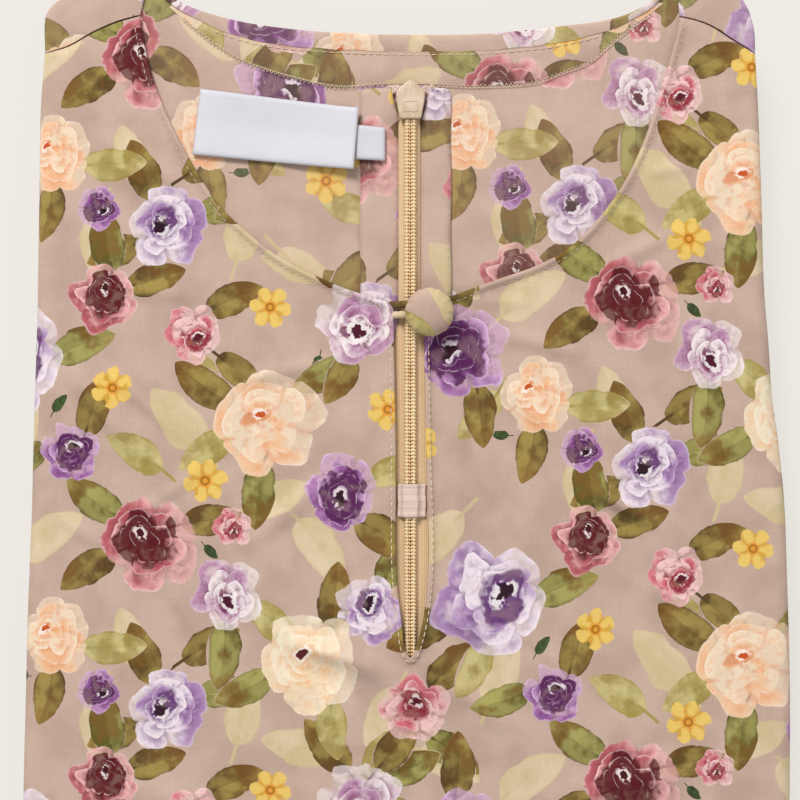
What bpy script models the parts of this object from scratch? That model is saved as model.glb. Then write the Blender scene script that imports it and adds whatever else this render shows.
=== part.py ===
"""A folded baju kurung, lying face up: the tunic on top, its skirt folded flat under it.

Every size is in millimetres until a mesh is made. X runs across the garment, Y from the lower fold to
the shoulders, Z up from the surface that it lies on. A place in the cloth is given by x, y and a depth
below the level of the tunic's front, so that layers nest: the front lies at depth 0, the back halves
under it, and what is sewn on a back half takes that half's points at a smaller depth.
"""

import math

import bmesh
import bpy
import numpy as np
from mathutils.geometry import delaunay_2d_cdt

MM = 0.001

# Driving sizes.
HEIGHT = 26.0  # floor to the tunic's front
CLOTH = 1.2  # wall of a body panel
STRIP = 1.0  # wall of a narrow piece: facing, seam allowance, tape, label
GAP = 0.3  # between pieces
STEP_RUN = 0.25  # how far a step in a layer's top takes to drop
LONGEST_EDGE = 14.0  # so that flat faces follow the dome of the stack

# Depths of the layers' upper faces below the front's.
BACK_DEPTH = CLOTH + GAP
BACK_BASE = BACK_DEPTH + CLOTH
TRIM_DEPTH = BACK_DEPTH - GAP - STRIP  # what lies on the back halves
TRIM_BASE = BACK_DEPTH - GAP
ZIP_RISE = CLOTH + GAP - TRIM_DEPTH  # how far the front is lifted over the seam allowances
COIL_BASE = TRIM_DEPTH - GAP
COIL_HEIGHT = 1.3
COIL_RISE = GAP + COIL_HEIGHT
FOLD_ROUND = 1.25  # the rounding of a fold of two layers

# The stack is lower towards its ends and its sides.
DOME_FLAT = 70.0  # half length over which it keeps its height
DOME_RUN = 110.0
DOME_END_DROP = 0.10
DOME_SIDE_DROP = 0.05
HALF_WIDTH = 124.0

# Mesh sizes.
LATTICE = 15.0  # between points inside a large piece
WIDE_LATTICE = 40.0  # where a face has no points of its own inside
SHOULDER_STEP, SEAM_STEP, NECK_STEP = 5.0, 8.0, 8.0
ON_LINE = 0.02  # a point nearer than this lies on a line

# Outline of the folded tunic: its sides, from the shoulder seam down.
SIDES = (  # y, left x, right x
    (140.6, -117.6, 113.4),
    (115.0, -119.5, 115.0),
    (93.0, -119.8, 115.8),
    (64.0, -120.1, 116.6),
    (47.0, -120.6, 117.9),
    (28.0, -121.2, 119.3),
    (15.0, -121.5, 121.2),
    (-7.0, -122.1, 123.2),
    (-24.0, -122.8, 123.9),
    (-53.0, -123.7, 124.8),
    (-101.0, -124.9, 125.1),
    (-150.0, -125.1, 124.9),
)
LOWER_FOLD = -167.0
CORNER = 17.0
CORNER_CUT = 0.3 * CORNER

# Shoulders and the back neck, anticlockwise from the right seam to the left one.
RIGHT_SHOULDER = ((113.4, 140.6), (113.0, 149.0), (109.6, 158.0), (102.0, 163.2), (90.5, 167.0))
BACK_NECK = (
    (90.5, 167.0),
    (79.0, 157.3),
    (68.9, 152.5),
    (49.5, 149.4),
    (23.7, 146.9),
    (-2.1, 146.8),
    (-34.4, 148.2),
    (-56.9, 151.7),
    (-73.0, 157.2),
    (-87.0, 166.4),
)
LEFT_SHOULDER = ((-87.0, 166.4), (-100.0, 163.0), (-111.5, 159.2), (-117.0, 154.0), (-117.6, 140.6))

# Forward shoulder seams, from the side to the neck.
LEFT_SEAM = ((-117.6, 140.9), (-109.5, 143.4), (-102.1, 147.6), (-94.0, 151.2), (-86.5, 153.2))
RIGHT_SEAM = ((113.4, 140.9), (106.3, 145.2), (98.9, 149.9), (93.0, 152.0), (88.7, 152.8))

# Front neck edge, from the shoulder seam to the slit.
LEFT_NECK = (
    (-86.5, 153.2),
    (-86.3, 150.4),
    (-82.1, 132.3),
    (-75.3, 115.8),
    (-61.1, 91.9),
    (-52.1, 82.9),
    (-40.5, 73.9),
    (-24.0, 65.8),
    (-11.8, 61.2),
    (-6.3, 59.6),
    (-4.6, 58.4),
)
RIGHT_NECK = (
    (88.7, 152.8),
    (88.2, 149.2),
    (82.4, 128.4),
    (75.3, 108.4),
    (67.9, 94.5),
    (54.7, 79.0),
    (44.0, 72.3),
    (26.0, 65.8),
    (14.4, 61.5),
    (8.0, 59.6),
    (6.0, 58.2),
)
SLIT = (  # down the left edge, round the point and up the right edge
    (-4.2, 57.0),
    (-4.0, 48.0),
    (-3.4, 12.0),
    (-3.1, -30.0),
    (-1.5, -43.5),
    (-0.6, -51.0),
    (1.1, -54.8),
    (3.0, -51.5),
    (4.4, -46.5),
    (6.0, -38.1),
    (7.2, -22.0),
    (6.9, -7.4),
    (6.3, 12.0),
    (5.7, 46.0),
    (5.6, 57.0),
)

# What the back halves keep under the front, past the edges of its neck and slit.
UNDER_NECK = 14.0
UNDER_SLIT = 21.0
UNDER_CORNER = 44.0  # Y where the one turns into the other
NECK_END = 48.0
BACK_LOW = -66.0

# Centre-back zip, seen from inside.
ZIP_X = 1.3
ZIP_LOW = -62.0
COIL_WIDTH = 1.95
TAPE_LEFT, TAPE_RIGHT = -3.4, 4.4  # what the seam leaves bare of the tape
SLIT_TAPE_LEFT, SLIT_TAPE_RIGHT = -4.9, 8.2  # and in the slit, where it shows all across
TAPE_CHANGE, TAPE_CHANGE_RUN = 46.0, 8.0  # Y where the one turns into the other
TRIM_TOP = 129.0  # upper end of the seam allowances
TAPE_PAST = 0.7
ALLOWANCE_ROUND = 2.2
COIL_CORNER = 0.4
ALLOWANCE_LEFT, ALLOWANCE_RIGHT = -15.0, 14.4
SLIDER_LOW, SLIDER_TOP = 118.7, 131.0
SLIDER_HEIGHT = 3.0
SLIDER_HALF = (  # distance below the point, half width
    (0.0, 0.7),
    (2.0, 3.0),
    (4.0, 4.5),
    (6.2, 4.8),
    (11.0, 3.6),
    (12.3, 3.5),
)
TAB_LOW, TAB_HIGH = -9.7, 1.0
TAB_ROWS = (  # x, depth of the tab's lower face
    (-2.8, -0.1),
    (-1.7, -0.5),
    (-1.1, -1.7),
    (3.7, -1.7),
    (4.5, -0.5),
    (6.2, -0.1),
)

# Back neck: the rolled edge, and the facing's lower edge.
ROLL_MIDDLE, ROLL_END = 5.6, 1.2
LEFT_FACING = (
    (-77.2, 155.8),
    (-74.0, 153.2),
    (-70.2, 149.7),
    (-65.7, 146.0),
    (-58.5, 140.8),
    (-50.5, 136.8),
    (-34.4, 131.9),
    (-21.5, 129.4),
    (-10.0, 130.2),
    (1.0, 130.6),
)
RIGHT_FACING = (
    (1.6, 130.6),
    (12.0, 130.2),
    (23.7, 129.7),
    (43.1, 131.4),
    (49.5, 133.9),
    (58.9, 137.6),
    (66.0, 143.4),
    (70.6, 147.4),
    (78.0, 152.6),
    (83.5, 157.0),
)

# Labels: corners from the upper left, clockwise; and how far the long one lifts along its length.
NECK_LABEL = ((-66.9, 129.0), (-15.4, 122.3), (-17.0, 102.3), (-69.2, 107.4))
LABEL_LIFT = ((0.0, 0.0), (0.12, 0.25), (0.5, 0.15), (0.8, 0.9), (1.0, 2.6))
LABEL_CURL = 0.7
FLAT_LIFT = ((0.0, 0.0), (1.0, 0.0))
SIZE_TAB = ((-16.6, 117.0), (-6.9, 116.0), (-6.9, 105.2), (-16.9, 105.8))

# Button and its loop.
BUTTON_PLACE = (7.3, 56.1)
BUTTON_RADIUS = 7.75
BUTTON_DOME = 5.4
BUTTON_RIM = 1.4  # height of its edge over its underside
BUTTON_SIDES = 28
SHANK_RADIUS = 1.2
LOOP_RADIUS = 1.2
LOOP_SPREAD = 1.6  # half the distance between the strands where they leave the slit's edge
LOOP_START = (-3.85, 57.0)
LOOP_SIDES = 8

# The folds at the edges: their radii, how far round they go, and where (Y, run) they change.
SIDE_ROUND, LOWER_ROUND, TOP_ROUND = 4.75, 7.5, 1.5
WRAP = math.radians(150)
TOP_WRAP = math.radians(88)
LOW_CHANGE = (-128.0, 34.0)
TOP_CHANGE = (105.0, 34.0)
WRAP_CHANGE = (100.0, 25.0)
TURN_SHARES = (0.25, 0.5, 0.75, 1.0)  # rows of points round a turn
OUTLINE_STEP = 7.5
SKIRT_TOP = 9.9
SKIRT_INSET = 2.6
LOWER_INSET = 1.2  # how much further in the skirt's lower fold ends
SKIRT_FOLD = 4.95  # height of one of its folds

# The front's rise over the seam allowances and, at the slit's point, over the coils.
LIFT_MIDDLE, LIFT_HALF, LIFT_RUN = 0.2, 21.0, 5.5
LIFT_LOW, LIFT_LOW_RUN = -76.0, 12.0
COIL_LIFT_HALF, COIL_LIFT_RUN = 8.6, 5.4
COIL_LIFT_TOP, COIL_LIFT_TOP_RUN = -37.0, 7.0

# The hidden layers: the tunic's folds inside the front's turn, and the skirt's.
SHOULDER_START = 96.0  # Y where they thin out towards the shoulders
SHOULDER_RUN = 30.0
SINK_RUN = 18.0
SHOULDER_INSET = 1.2
FRONT_CLEARANCE = 0.2
SECOND_FOLD_TURN = (25, 60, 95, 130, 160)
PEEK = (1.9, 2.0, 20.0)  # how far the second fold shows at the right, its Y and its half length
NEAR_SHADOW, FAR_SHADOW = 2.0, 7.0
SHADOW_SIDE = UNDER_SLIT + 1.3

# Largest creases of the front, from one end to the other.
CREASES = (  # x0, y0, x1, y1, height, half width
    (-45.0, -47.0, 2.0, -66.0, 1.1, 7.0),
    (-112.0, 42.0, -86.0, 8.0, 1.2, 7.0),
    (-98.0, 118.0, -76.0, 76.0, 1.0, 7.0),
    (56.0, 2.0, 82.0, -15.0, 1.2, 6.0),
    (14.0, -34.0, 27.0, -56.0, 0.9, 6.0),
    (-95.0, -96.0, -38.0, -118.0, 1.0, 9.0),
    (40.0, -104.0, 98.0, -90.0, 1.0, 9.0),
    (84.0, 92.0, 102.0, 52.0, 1.0, 7.0),
)

CREASE_END = 16.0  # a crease dies out this near to the outline

# Colours, roughness of each finish.
PRINT_CLOTH = ((0.60, 0.46, 0.39), 0.85)
HIDDEN_CLOTH = ((0.57, 0.44, 0.38), 0.9)
ZIP_CLOTH = ((0.62, 0.47, 0.28), 0.7)
ZIP_PLASTIC = ((0.66, 0.53, 0.38), 0.45)
LABEL_CLOTH = ((0.80, 0.81, 0.84), 0.6)
TAB_CLOTH = ((0.78, 0.66, 0.60), 0.6)


def smooth(share):
    """0 to 1 with a soft start and end."""
    share = min(1.0, max(0.0, share))
    return share * share * (3.0 - 2.0 * share)


def dome(x, y):
    """The stack is thickest in its middle: what a height is multiplied by at a place."""
    ends = smooth((abs(y) - DOME_FLAT) / DOME_RUN)
    return 1.0 - DOME_END_DROP * ends - DOME_SIDE_DROP * (x / HALF_WIDTH) ** 2


def settled(x, y, z):
    return (x, y, z * dome(x, y))


def through(points, step):
    """A smooth line through these points, with its own points about a step apart."""
    given = np.array(points, float)
    before = 2.0 * given[0] - given[1]
    after = 2.0 * given[-1] - given[-2]
    chain = np.vstack([before, given, after])
    line = []
    for a, b, c, d in zip(chain, chain[1:], chain[2:], chain[3:]):
        knots = np.cumsum([0.0] + [np.linalg.norm(q - p) ** 0.5 for p, q in ((a, b), (b, c), (c, d))])
        count = max(1, round(np.linalg.norm(c - b) / step))
        for t in np.linspace(knots[1], knots[2], count, endpoint=False):
            ab = a + (b - a) * (t - knots[0]) / (knots[1] - knots[0])
            bc = b + (c - b) * (t - knots[1]) / (knots[2] - knots[1])
            cd = c + (d - c) * (t - knots[2]) / (knots[3] - knots[2])
            abc = ab + (bc - ab) * (t - knots[0]) / (knots[2] - knots[0])
            bcd = bc + (cd - bc) * (t - knots[1]) / (knots[3] - knots[1])
            line.append(abc + (bcd - abc) * (t - knots[1]) / (knots[2] - knots[1]))
    line.append(given[-1])
    return np.array(line)


def inward(line, closed=False):
    """Unit normals to the left of a line, which is inwards where it runs anticlockwise."""
    if closed:
        along = np.roll(line, -1, axis=0) - np.roll(line, 1, axis=0)
    else:
        along = np.gradient(line, axis=0)
    along /= np.linalg.norm(along, axis=1, keepdims=True)
    return np.column_stack([-along[:, 1], along[:, 0]])


def moved_in(line, distance):
    return line + inward(line) * np.reshape(distance, (-1, 1))


def reach(point, line):
    """The distance from a point to a line."""
    start, end = line[:-1], line[1:]
    along = end - start
    share = ((point - start) * along).sum(axis=1) / np.maximum((along**2).sum(axis=1), 1e-12)
    nearest = start + along * np.clip(share, 0.0, 1.0)[:, None]
    return float(np.linalg.norm(nearest - point, axis=1).min())


def split(outline, longest):
    """A closed outline with points added along its long edges."""
    points = []
    for start, end in zip(outline, np.roll(outline, -1, axis=0)):
        count = max(1, math.ceil(np.linalg.norm(end - start) / longest))
        points += [start + (end - start) * i / count for i in range(count)]
    return np.array(points)


def holds(polygon, point):
    """Whether a closed outline holds a point."""
    x, y = point
    found = False
    for (ax, ay), (bx, by) in zip(polygon, np.roll(polygon, -1, axis=0)):
        if (ay > y) != (by > y) and x < ax + (bx - ax) * (y - ay) / (by - ay):
            found = not found
    return found


def triangles_in(outline, lines, spacing):
    """Points and triangles that fill an outline, with edges along these lines and a lattice between."""
    points = [tuple(p) for p in outline]
    edges = [(i, (i + 1) % len(outline)) for i in range(len(outline))]
    for line in lines:
        first = len(points)
        points += [tuple(p) for p in line]
        edges += [(first + i, first + i + 1) for i in range(len(line) - 1)]
    walls = [np.vstack([outline, outline[:1]])] + [np.array(line) for line in lines]
    low, high = outline.min(axis=0), outline.max(axis=0)
    row_height = spacing * math.sqrt(0.75)
    for row in range(int((high[1] - low[1]) / row_height) + 1):
        for column in range(int((high[0] - low[0]) / spacing) + 1):
            x = low[0] + (column + 0.5 * (row % 2)) * spacing
            place = np.array((x, low[1] + row * row_height))
            if not holds(outline, place):
                continue
            if min(reach(place, wall) for wall in walls) > 0.55 * spacing:
                points.append(tuple(place))
    made = delaunay_2d_cdt(points, edges, [list(range(len(outline)))], 1, 1e-4)
    return [tuple(v) for v in made[0]], [tuple(f) for f in made[2]], made[3]


def solid(name, outer, inner, faces, finish):
    """One closed body from a patch of cloth: its upper points, its lower points and its faces."""
    count = len(outer)
    closed = [tuple(f) for f in faces] + [tuple(count + i for i in reversed(f)) for f in faces]
    used = {(f[i], f[(i + 1) % len(f)]) for f in faces for i in range(len(f))}
    closed += [(b, a, count + a, count + b) for a, b in used if (b, a) not in used]
    return add_mesh(name, list(outer) + list(inner), closed, finish)


def add_mesh(name, points, faces, finish):
    """An object from points in millimetres."""
    mesh = bpy.data.meshes.new(name)
    mesh.from_pydata([tuple(MM * value for value in p) for p in points], [], faces)
    turned_out = bmesh.new()
    turned_out.from_mesh(mesh)
    bmesh.ops.recalc_face_normals(turned_out, faces=turned_out.faces)
    turned_out.to_mesh(mesh)
    turned_out.free()
    mesh.shade_smooth()
    mesh.set_sharp_from_angle(angle=math.radians(40))
    mesh.materials.append(material_of(name, finish))
    made = bpy.data.objects.new(name, mesh)
    bpy.context.scene.collection.objects.link(made)
    return made


def material_of(name, finish):
    colour, roughness = finish
    made = bpy.data.materials.new(name)
    made.use_nodes = True
    shader = made.node_tree.nodes["Principled BSDF"]
    shader.inputs["Base Color"].default_value = (*colour, 1.0)
    shader.inputs["Roughness"].default_value = roughness
    shader.inputs["Metallic"].default_value = 0.0
    return made


# ---- The folded outline -------------------------------------------------------------------------


def side_outline(step):
    """Down the left side, along the lower fold and up the right side."""
    left = [(row[1], row[0]) for row in SIDES]
    right = [(row[2], row[0]) for row in reversed(SIDES)]
    lower = LOWER_FOLD
    corners = (
        (left[-1][0] + CORNER_CUT, lower + CORNER_CUT),
        (left[-1][0] + CORNER, lower + 0.6),
        (-60.0, lower),
        (0.0, lower + 0.4),
        (60.0, lower),
        (right[0][0] - CORNER, lower + 0.6),
        (right[0][0] - CORNER_CUT, lower + CORNER_CUT),
    )
    return through(left + list(corners) + right, step)


def round_at(place):
    """Radius of the front's turn at a place on its outline."""
    y = place[1]
    low = smooth((LOW_CHANGE[0] - y) / LOW_CHANGE[1])
    high = smooth((y - TOP_CHANGE[0]) / TOP_CHANGE[1])
    return SIDE_ROUND + (LOWER_ROUND - SIDE_ROUND) * low - (SIDE_ROUND - TOP_ROUND) * high


def wrap_at(place):
    """How far round its turn the front goes: less where the turn is tight, at the shoulders."""
    high = smooth((place[1] - WRAP_CHANGE[0]) / WRAP_CHANGE[1])
    return WRAP + (TOP_WRAP - WRAP) * high


def turned(place, normal, depth, angle):
    """A point on the front's turn, at a depth into the stack."""
    radius = round_at(place)
    from_edge = radius - (radius - depth) * math.sin(angle)
    x, y = place + normal * from_edge
    return settled(x, y, HEIGHT - radius + (radius - depth) * math.cos(angle))


# ---- The tunic's front --------------------------------------------------------------------------


def ridge(x, y):
    """Height of the creases at a place."""
    total = 0.0
    for x0, y0, x1, y1, height, width in CREASES:
        along = np.array((x1 - x0, y1 - y0))
        length = np.linalg.norm(along)
        offset = np.array((x - x0, y - y0))
        share = float(offset @ along) / length**2
        away = abs(float(offset[0] * along[1] - offset[1] * along[0])) / length
        ends = smooth(min(share, 1.0 - share) / 0.3)
        total += height * ends * smooth(1.0 - away / width)
    return total


def lift(x, y):
    """How far the front rises over the seam allowances, and over the coils at the slit's point."""
    end = smooth((y - LIFT_LOW) / LIFT_LOW_RUN)
    across = smooth((LIFT_HALF - abs(x - LIFT_MIDDLE)) / LIFT_RUN)
    over_coil = smooth((COIL_LIFT_HALF - abs(x - ZIP_X)) / COIL_LIFT_RUN)
    over_coil *= smooth((COIL_LIFT_TOP - y) / COIL_LIFT_TOP_RUN)
    return end * (ZIP_RISE * across + COIL_RISE * over_coil)


def crease_lines():
    """Lines along each crease and beside it, for the mesh to follow."""
    lines = []
    for x0, y0, x1, y1, _, width in CREASES:
        start, end = np.array((x0, y0)), np.array((x1, y1))
        along = (end - start) / np.linalg.norm(end - start)
        across = np.array((-along[1], along[0])) * width
        for side, inset in ((-1, 0.12), (0, 0.02), (1, 0.12)):
            shares = np.linspace(inset, 1.0 - inset, 5)
            lines.append(start + (end - start) * shares[:, None] + across * side)
    return lines


def lift_lines():
    """Lines where the front starts to rise beside the zip."""
    rows = np.linspace(LIFT_LOW, 56.0, 12)
    foot, top = LIFT_HALF, LIFT_HALF - LIFT_RUN + 0.3
    lines = []
    for offset in (-foot, -top, top, foot):
        lines.append(np.column_stack([np.full(len(rows), LIFT_MIDDLE + offset), rows]))
    end = LIFT_LOW + LIFT_LOW_RUN + 1.0
    lines.append(np.array([(LIFT_MIDDLE + offset, end) for offset in (-top, 0.0, top)]))
    low_rows = np.array((-76.0, -70.0, -64.0, -58.0, -51.0, -44.0, -40.0, -37.0))
    foot, top = COIL_LIFT_HALF + 0.2, COIL_LIFT_HALF - COIL_LIFT_RUN - 0.1
    for offset in (-foot, -top, top, foot):
        lines.append(np.column_stack([np.full(len(low_rows), ZIP_X + offset), low_rows]))
    return lines


def front_panel():
    outline = side_outline(OUTLINE_STEP)
    normals = inward(outline)
    rounds = np.array([round_at(p) for p in outline])
    rim = outline + normals * rounds[:, None]
    seam_gap = GAP + STEP_RUN + 0.1
    left_seam = moved_in(through(LEFT_SEAM, SEAM_STEP), -seam_gap)
    right_seam = moved_in(through(RIGHT_SEAM, SEAM_STEP), seam_gap)
    left_neck, right_neck = through(LEFT_NECK, SHOULDER_STEP), through(RIGHT_NECK, SHOULDER_STEP)
    left_neck[0] = left_seam[-1]
    right_neck[0] = right_seam[-1]
    slit = through(SLIT, NECK_STEP)
    edge = np.vstack(
        [rim, right_seam[1:-1], right_neck, slit[::-1], left_neck[::-1], left_seam[-2:0:-1]]
    )
    flat, faces, origin = triangles_in(edge, crease_lines() + lift_lines(), LATTICE)
    outer, inner = [], []
    for x, y in flat:
        rise = lift(x, y) + ridge(x, y) * smooth(reach(np.array((x, y)), outline) / CREASE_END)
        outer.append(settled(x, y, HEIGHT + rise))
        inner.append(settled(x, y, HEIGHT + rise - CLOTH))
    column = {given: made for made, found in enumerate(origin) for given in found if given < len(rim)}
    row = [column[i] for i in range(len(rim))]
    for part in TURN_SHARES:
        first = len(outer)
        for place, normal in zip(outline, normals):
            outer.append(turned(place, normal, 0.0, part * wrap_at(place)))
            inner.append(turned(place, normal, CLOTH, part * wrap_at(place)))
        below = list(range(first, len(outer)))
        for i in range(len(row) - 1):
            faces.append((row[i], below[i], below[i + 1], row[i + 1]))
        row = below
    return solid("front_panel", outer, inner, faces, PRINT_CLOTH)


# ---- The tunic's back halves --------------------------------------------------------------------


def cut_at(line, x):
    """A line that runs across X, cut into the parts right and left of x."""
    index = next(i for i in range(len(line) - 1) if (line[i][0] - x) * (line[i + 1][0] - x) <= 0.0)
    share = (x - line[index][0]) / (line[index + 1][0] - line[index][0])
    middle = line[index] + (line[index + 1] - line[index]) * share
    return np.vstack([line[: index + 1], middle]), np.vstack([middle, line[index + 1 :]])


def roll_width(x):
    return ROLL_END + (ROLL_MIDDLE - ROLL_END) * smooth((88.0 - abs(x)) / 45.0)


def back_half(name, shoulder, seam, neck, half_neck, centre, outer_side):
    """A back half: its cap over the shoulder, the rolled neck edge and the inside that shows.

    shoulder runs from the neck point to the seam, neck from the seam down the front neck edge, and
    half_neck from the neck point to the centre. outer_side is -1 for the left half and 1 for the right.
    """
    step = outer_side
    cap = np.vstack([shoulder, seam[1:], half_neck[:1]])
    hidden = moved_in(neck[2:-2], UNDER_NECK * step)
    keep = hidden[:, 1] > NECK_END + 2.0
    beside = centre + UNDER_SLIT * step
    under = np.vstack([hidden[keep], [(beside, UNDER_CORNER)], [(beside, BACK_LOW)]])
    foot_end = seam[0] + (seam[1] - seam[0]) * 0.4 + np.array((0.0, -STEP_RUN))
    tuck = np.array([foot_end, foot_end + np.array((-0.5 * step, -3.0))])
    edge = np.vstack([half_neck[:0:-1], shoulder[:-1], seam[:1], tuck, under, [(centre, BACK_LOW)]])
    edge = split(edge, LONGEST_EDGE)
    if step > 0:
        edge = edge[::-1]
    folded = np.vstack([half_neck[::-1], shoulder])
    fold_rows = (0.3 * FOLD_ROUND, FOLD_ROUND)
    inner_fold = [moved_in(half_neck, step * d) for d in fold_rows]
    cap_fold = [moved_in(shoulder, -step * d)[1:-1] for d in fold_rows]
    widths = np.array([roll_width(x) for x, _ in half_neck])
    roll = moved_in(half_neck, step * widths)[1:]
    roll_foot = moved_in(half_neck, step * (widths + STEP_RUN))[1:]
    roll[-1][0] = centre
    roll_foot[-1][0] = centre
    seam_line = np.vstack([seam[1:], half_neck[:1]])
    seam_end = seam[-1] + (-STEP_RUN * step, -STEP_RUN)
    seam_foot = np.vstack([moved_in(seam, step * STEP_RUN)[1:-1], [seam_end]])
    neck_foot = np.vstack([seam_foot[-1:], [half_neck[1] + (STEP_RUN * -step, -0.1)]])
    lines = inner_fold + cap_fold + [roll, roll_foot, seam_line, seam_foot, neck_foot]
    flat, faces, _ = triangles_in(edge, lines, LATTICE)
    cap_shape = cap if holds(cap, cap.mean(axis=0)) else cap[::-1]
    outer, inner = [], []
    for x, y in flat:
        place = np.array((x, y))
        on_cap_edge = min(reach(place, seam_line), reach(place, shoulder)) < ON_LINE
        in_cap = on_cap_edge or holds(cap_shape, place)
        in_roll = reach(place, half_neck) < roll_width(x) + 0.5 * STEP_RUN
        depth = 0.0 if in_cap else TRIM_DEPTH if in_roll else BACK_DEPTH
        near = min(FOLD_ROUND, reach(place, folded))
        turn = FOLD_ROUND - math.sqrt(FOLD_ROUND**2 - (FOLD_ROUND - near) ** 2)
        thick = BACK_BASE - depth
        turn = min(turn, 0.5 * thick - 0.06)
        outer.append(settled(x, y, HEIGHT - depth - turn))
        inner.append(settled(x, y, HEIGHT - BACK_BASE + turn))
    return solid(name, outer, inner, faces, PRINT_CLOTH)


def flat_piece(name, outline, finish, spacing=LATTICE):
    """A piece sewn on the back halves, from its outline: it lies level on them."""
    flat, faces, _ = triangles_in(split(np.array(outline, float), LONGEST_EDGE), [], spacing)
    outer = [settled(x, y, HEIGHT - TRIM_DEPTH) for x, y in flat]
    inner = [settled(x, y, HEIGHT - TRIM_BASE) for x, y in flat]
    return solid(name, outer, inner, faces, finish)


def facing(name, lower_edge, half_neck, side):
    """The band inside the back neck, from its lower edge and the half of the neck that it follows."""
    widths = np.array([roll_width(x) + STEP_RUN + GAP + 0.25 for x, _ in half_neck])
    upper_edge = moved_in(half_neck, side * widths)
    near = [p for p in upper_edge if abs(p[0]) < abs(lower_edge[0 if side < 0 else -1][0]) - 1.0]
    lower_line = through(lower_edge, 7.0)
    chain = near[::-1] if side < 0 else near
    outline = np.vstack([lower_line, np.array(chain)])
    return flat_piece(name, outline, PRINT_CLOTH)


# ---- Strips, zip, labels ------------------------------------------------------------------------


def tape_edge(high, low, top):
    """Up the outer edge of the tape, from its X above the slit, its X in the slit and its upper end."""
    return [(low, ZIP_LOW), (low, TAPE_CHANGE), (high, TAPE_CHANGE + TAPE_CHANGE_RUN), (high, top)]


def zip_tape(name, inner, high, low):
    top = TRIM_TOP + TAPE_PAST
    outline = [(inner, top), (inner, ZIP_LOW)] + tape_edge(high, low, top)
    if high < inner:
        outline = outline[::-1]
    return flat_piece(name, outline, ZIP_CLOTH, WIDE_LATTICE)


def allowance(name, high, low, far):
    """A pressed-open seam allowance beside the tape, with its far upper corner trimmed round."""
    side = math.copysign(1.0, far - high)
    corner_x = far - side * ALLOWANCE_ROUND
    corner_y = TRIM_TOP - ALLOWANCE_ROUND
    outline = [(far, ZIP_LOW)]
    for degrees in (0, 30, 60, 90):
        angle = math.radians(degrees)
        across = side * ALLOWANCE_ROUND * math.cos(angle)
        outline.append((corner_x + across, corner_y + ALLOWANCE_ROUND * math.sin(angle)))
    outline += tape_edge(high + side * GAP, low + side * GAP, TRIM_TOP)[::-1]
    if side < 0.0:
        outline = outline[::-1]
    return flat_piece(name, outline, PRINT_CLOTH, WIDE_LATTICE)


def bar(name, rows, section, finish):
    """A long piece: rows along Y, and a section of points (x, height) swept through them."""
    points, faces = [], []
    for y in rows:
        points += [settled(x, y, z) for x, z in section]
    size = len(section)
    for i in range(len(rows) - 1):
        for j in range(size):
            a, b = i * size + j, i * size + (j + 1) % size
            faces.append((a, a + size, b + size, b))
    faces.append(tuple(range(size)))
    faces.append(tuple(reversed(range((len(rows) - 1) * size, len(rows) * size))))
    return add_mesh(name, points, faces, finish)


def zip_coil(name, x0, x1):
    base = HEIGHT - COIL_BASE
    top = base + COIL_HEIGHT
    cut = COIL_CORNER
    section = [
        (x0, base),
        (x0, top - cut),
        (x0 + cut, top),
        (x1 - cut, top),
        (x1, top - cut),
        (x1, base),
    ]
    rows = np.linspace(ZIP_LOW + 1.0, SLIDER_LOW - GAP, 16)
    return bar(name, rows, section, ZIP_PLASTIC)


def zip_slider():
    """The slider's inner face: a house-shaped body with rounded edges."""
    base = HEIGHT - COIL_BASE
    half = SLIDER_HALF
    ring = [(ZIP_X + w, SLIDER_TOP - d) for d, w in half]
    ring = [(ZIP_X - w, SLIDER_TOP - d) for d, w in half][::-1] + ring
    ring = np.array(ring[::-1])
    middle = np.array((ZIP_X, 0.5 * (SLIDER_LOW + SLIDER_TOP)))
    levels = ((0.0, 0.93), (0.5, 1.0), (2.3, 1.0), (2.8, 0.95), (SLIDER_HEIGHT, 0.86))  # height, scale
    points, faces = [], []
    for height, scale in levels:
        for p in middle + (ring - middle) * scale:
            points.append(settled(p[0], p[1], base + height))
    size = len(ring)
    for i in range(len(levels) - 1):
        for j in range(size):
            a, b = i * size + j, i * size + (j + 1) % size
            faces.append((a, b, b + size, a + size))
    faces.append(tuple(reversed(range(size))))
    faces.append(tuple(range((len(levels) - 1) * size, len(levels) * size)))
    return add_mesh("zip_slider", points, faces, ZIP_PLASTIC)


def zip_tab():
    """The small cloth tab that crosses the closed coils."""
    count = len(TAB_ROWS)
    rows = np.linspace(TAB_LOW, TAB_HIGH, 4)
    outer, inner, faces = [], [], []
    for y in rows:
        for x, depth in TAB_ROWS:
            inner.append(settled(x, y, HEIGHT - depth))
            outer.append(settled(x, y, HEIGHT - depth + STRIP))
    for i in range(len(rows) - 1):
        for j in range(count - 1):
            a = i * count + j
            faces.append((a, a + 1, a + 1 + count, a + count))
    return solid("zip_tab", outer, inner, faces, TAB_CLOTH)


def label(name, corners, base_depth, lift_rows, curl, grid):
    """A woven label: a sheet between four corners, lifted along its length and curled at its foot."""
    a, b, c, d = (np.array(p) for p in corners)
    columns, rows = grid
    outer, inner, faces = [], [], []
    shares = [r[0] for r in lift_rows]
    lifts = [r[1] for r in lift_rows]
    for j in range(rows + 1):
        v = j / rows
        for i in range(columns + 1):
            u = i / columns
            x, y = (a + (b - a) * u) * (1.0 - v) + (d + (c - d) * u) * v
            raised = float(np.interp(u, shares, lifts)) + curl * smooth((v - 0.4) / 0.6)
            inner.append(settled(x, y, HEIGHT - base_depth + raised))
            outer.append(settled(x, y, HEIGHT - base_depth + raised + STRIP))
    for j in range(rows):
        for i in range(columns):
            k = j * (columns + 1) + i
            faces.append((k, k + columns + 1, k + columns + 2, k + 1))
    return solid(name, outer, inner, faces, LABEL_CLOTH)


# ---- Button and loop ----------------------------------------------------------------------------


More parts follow.
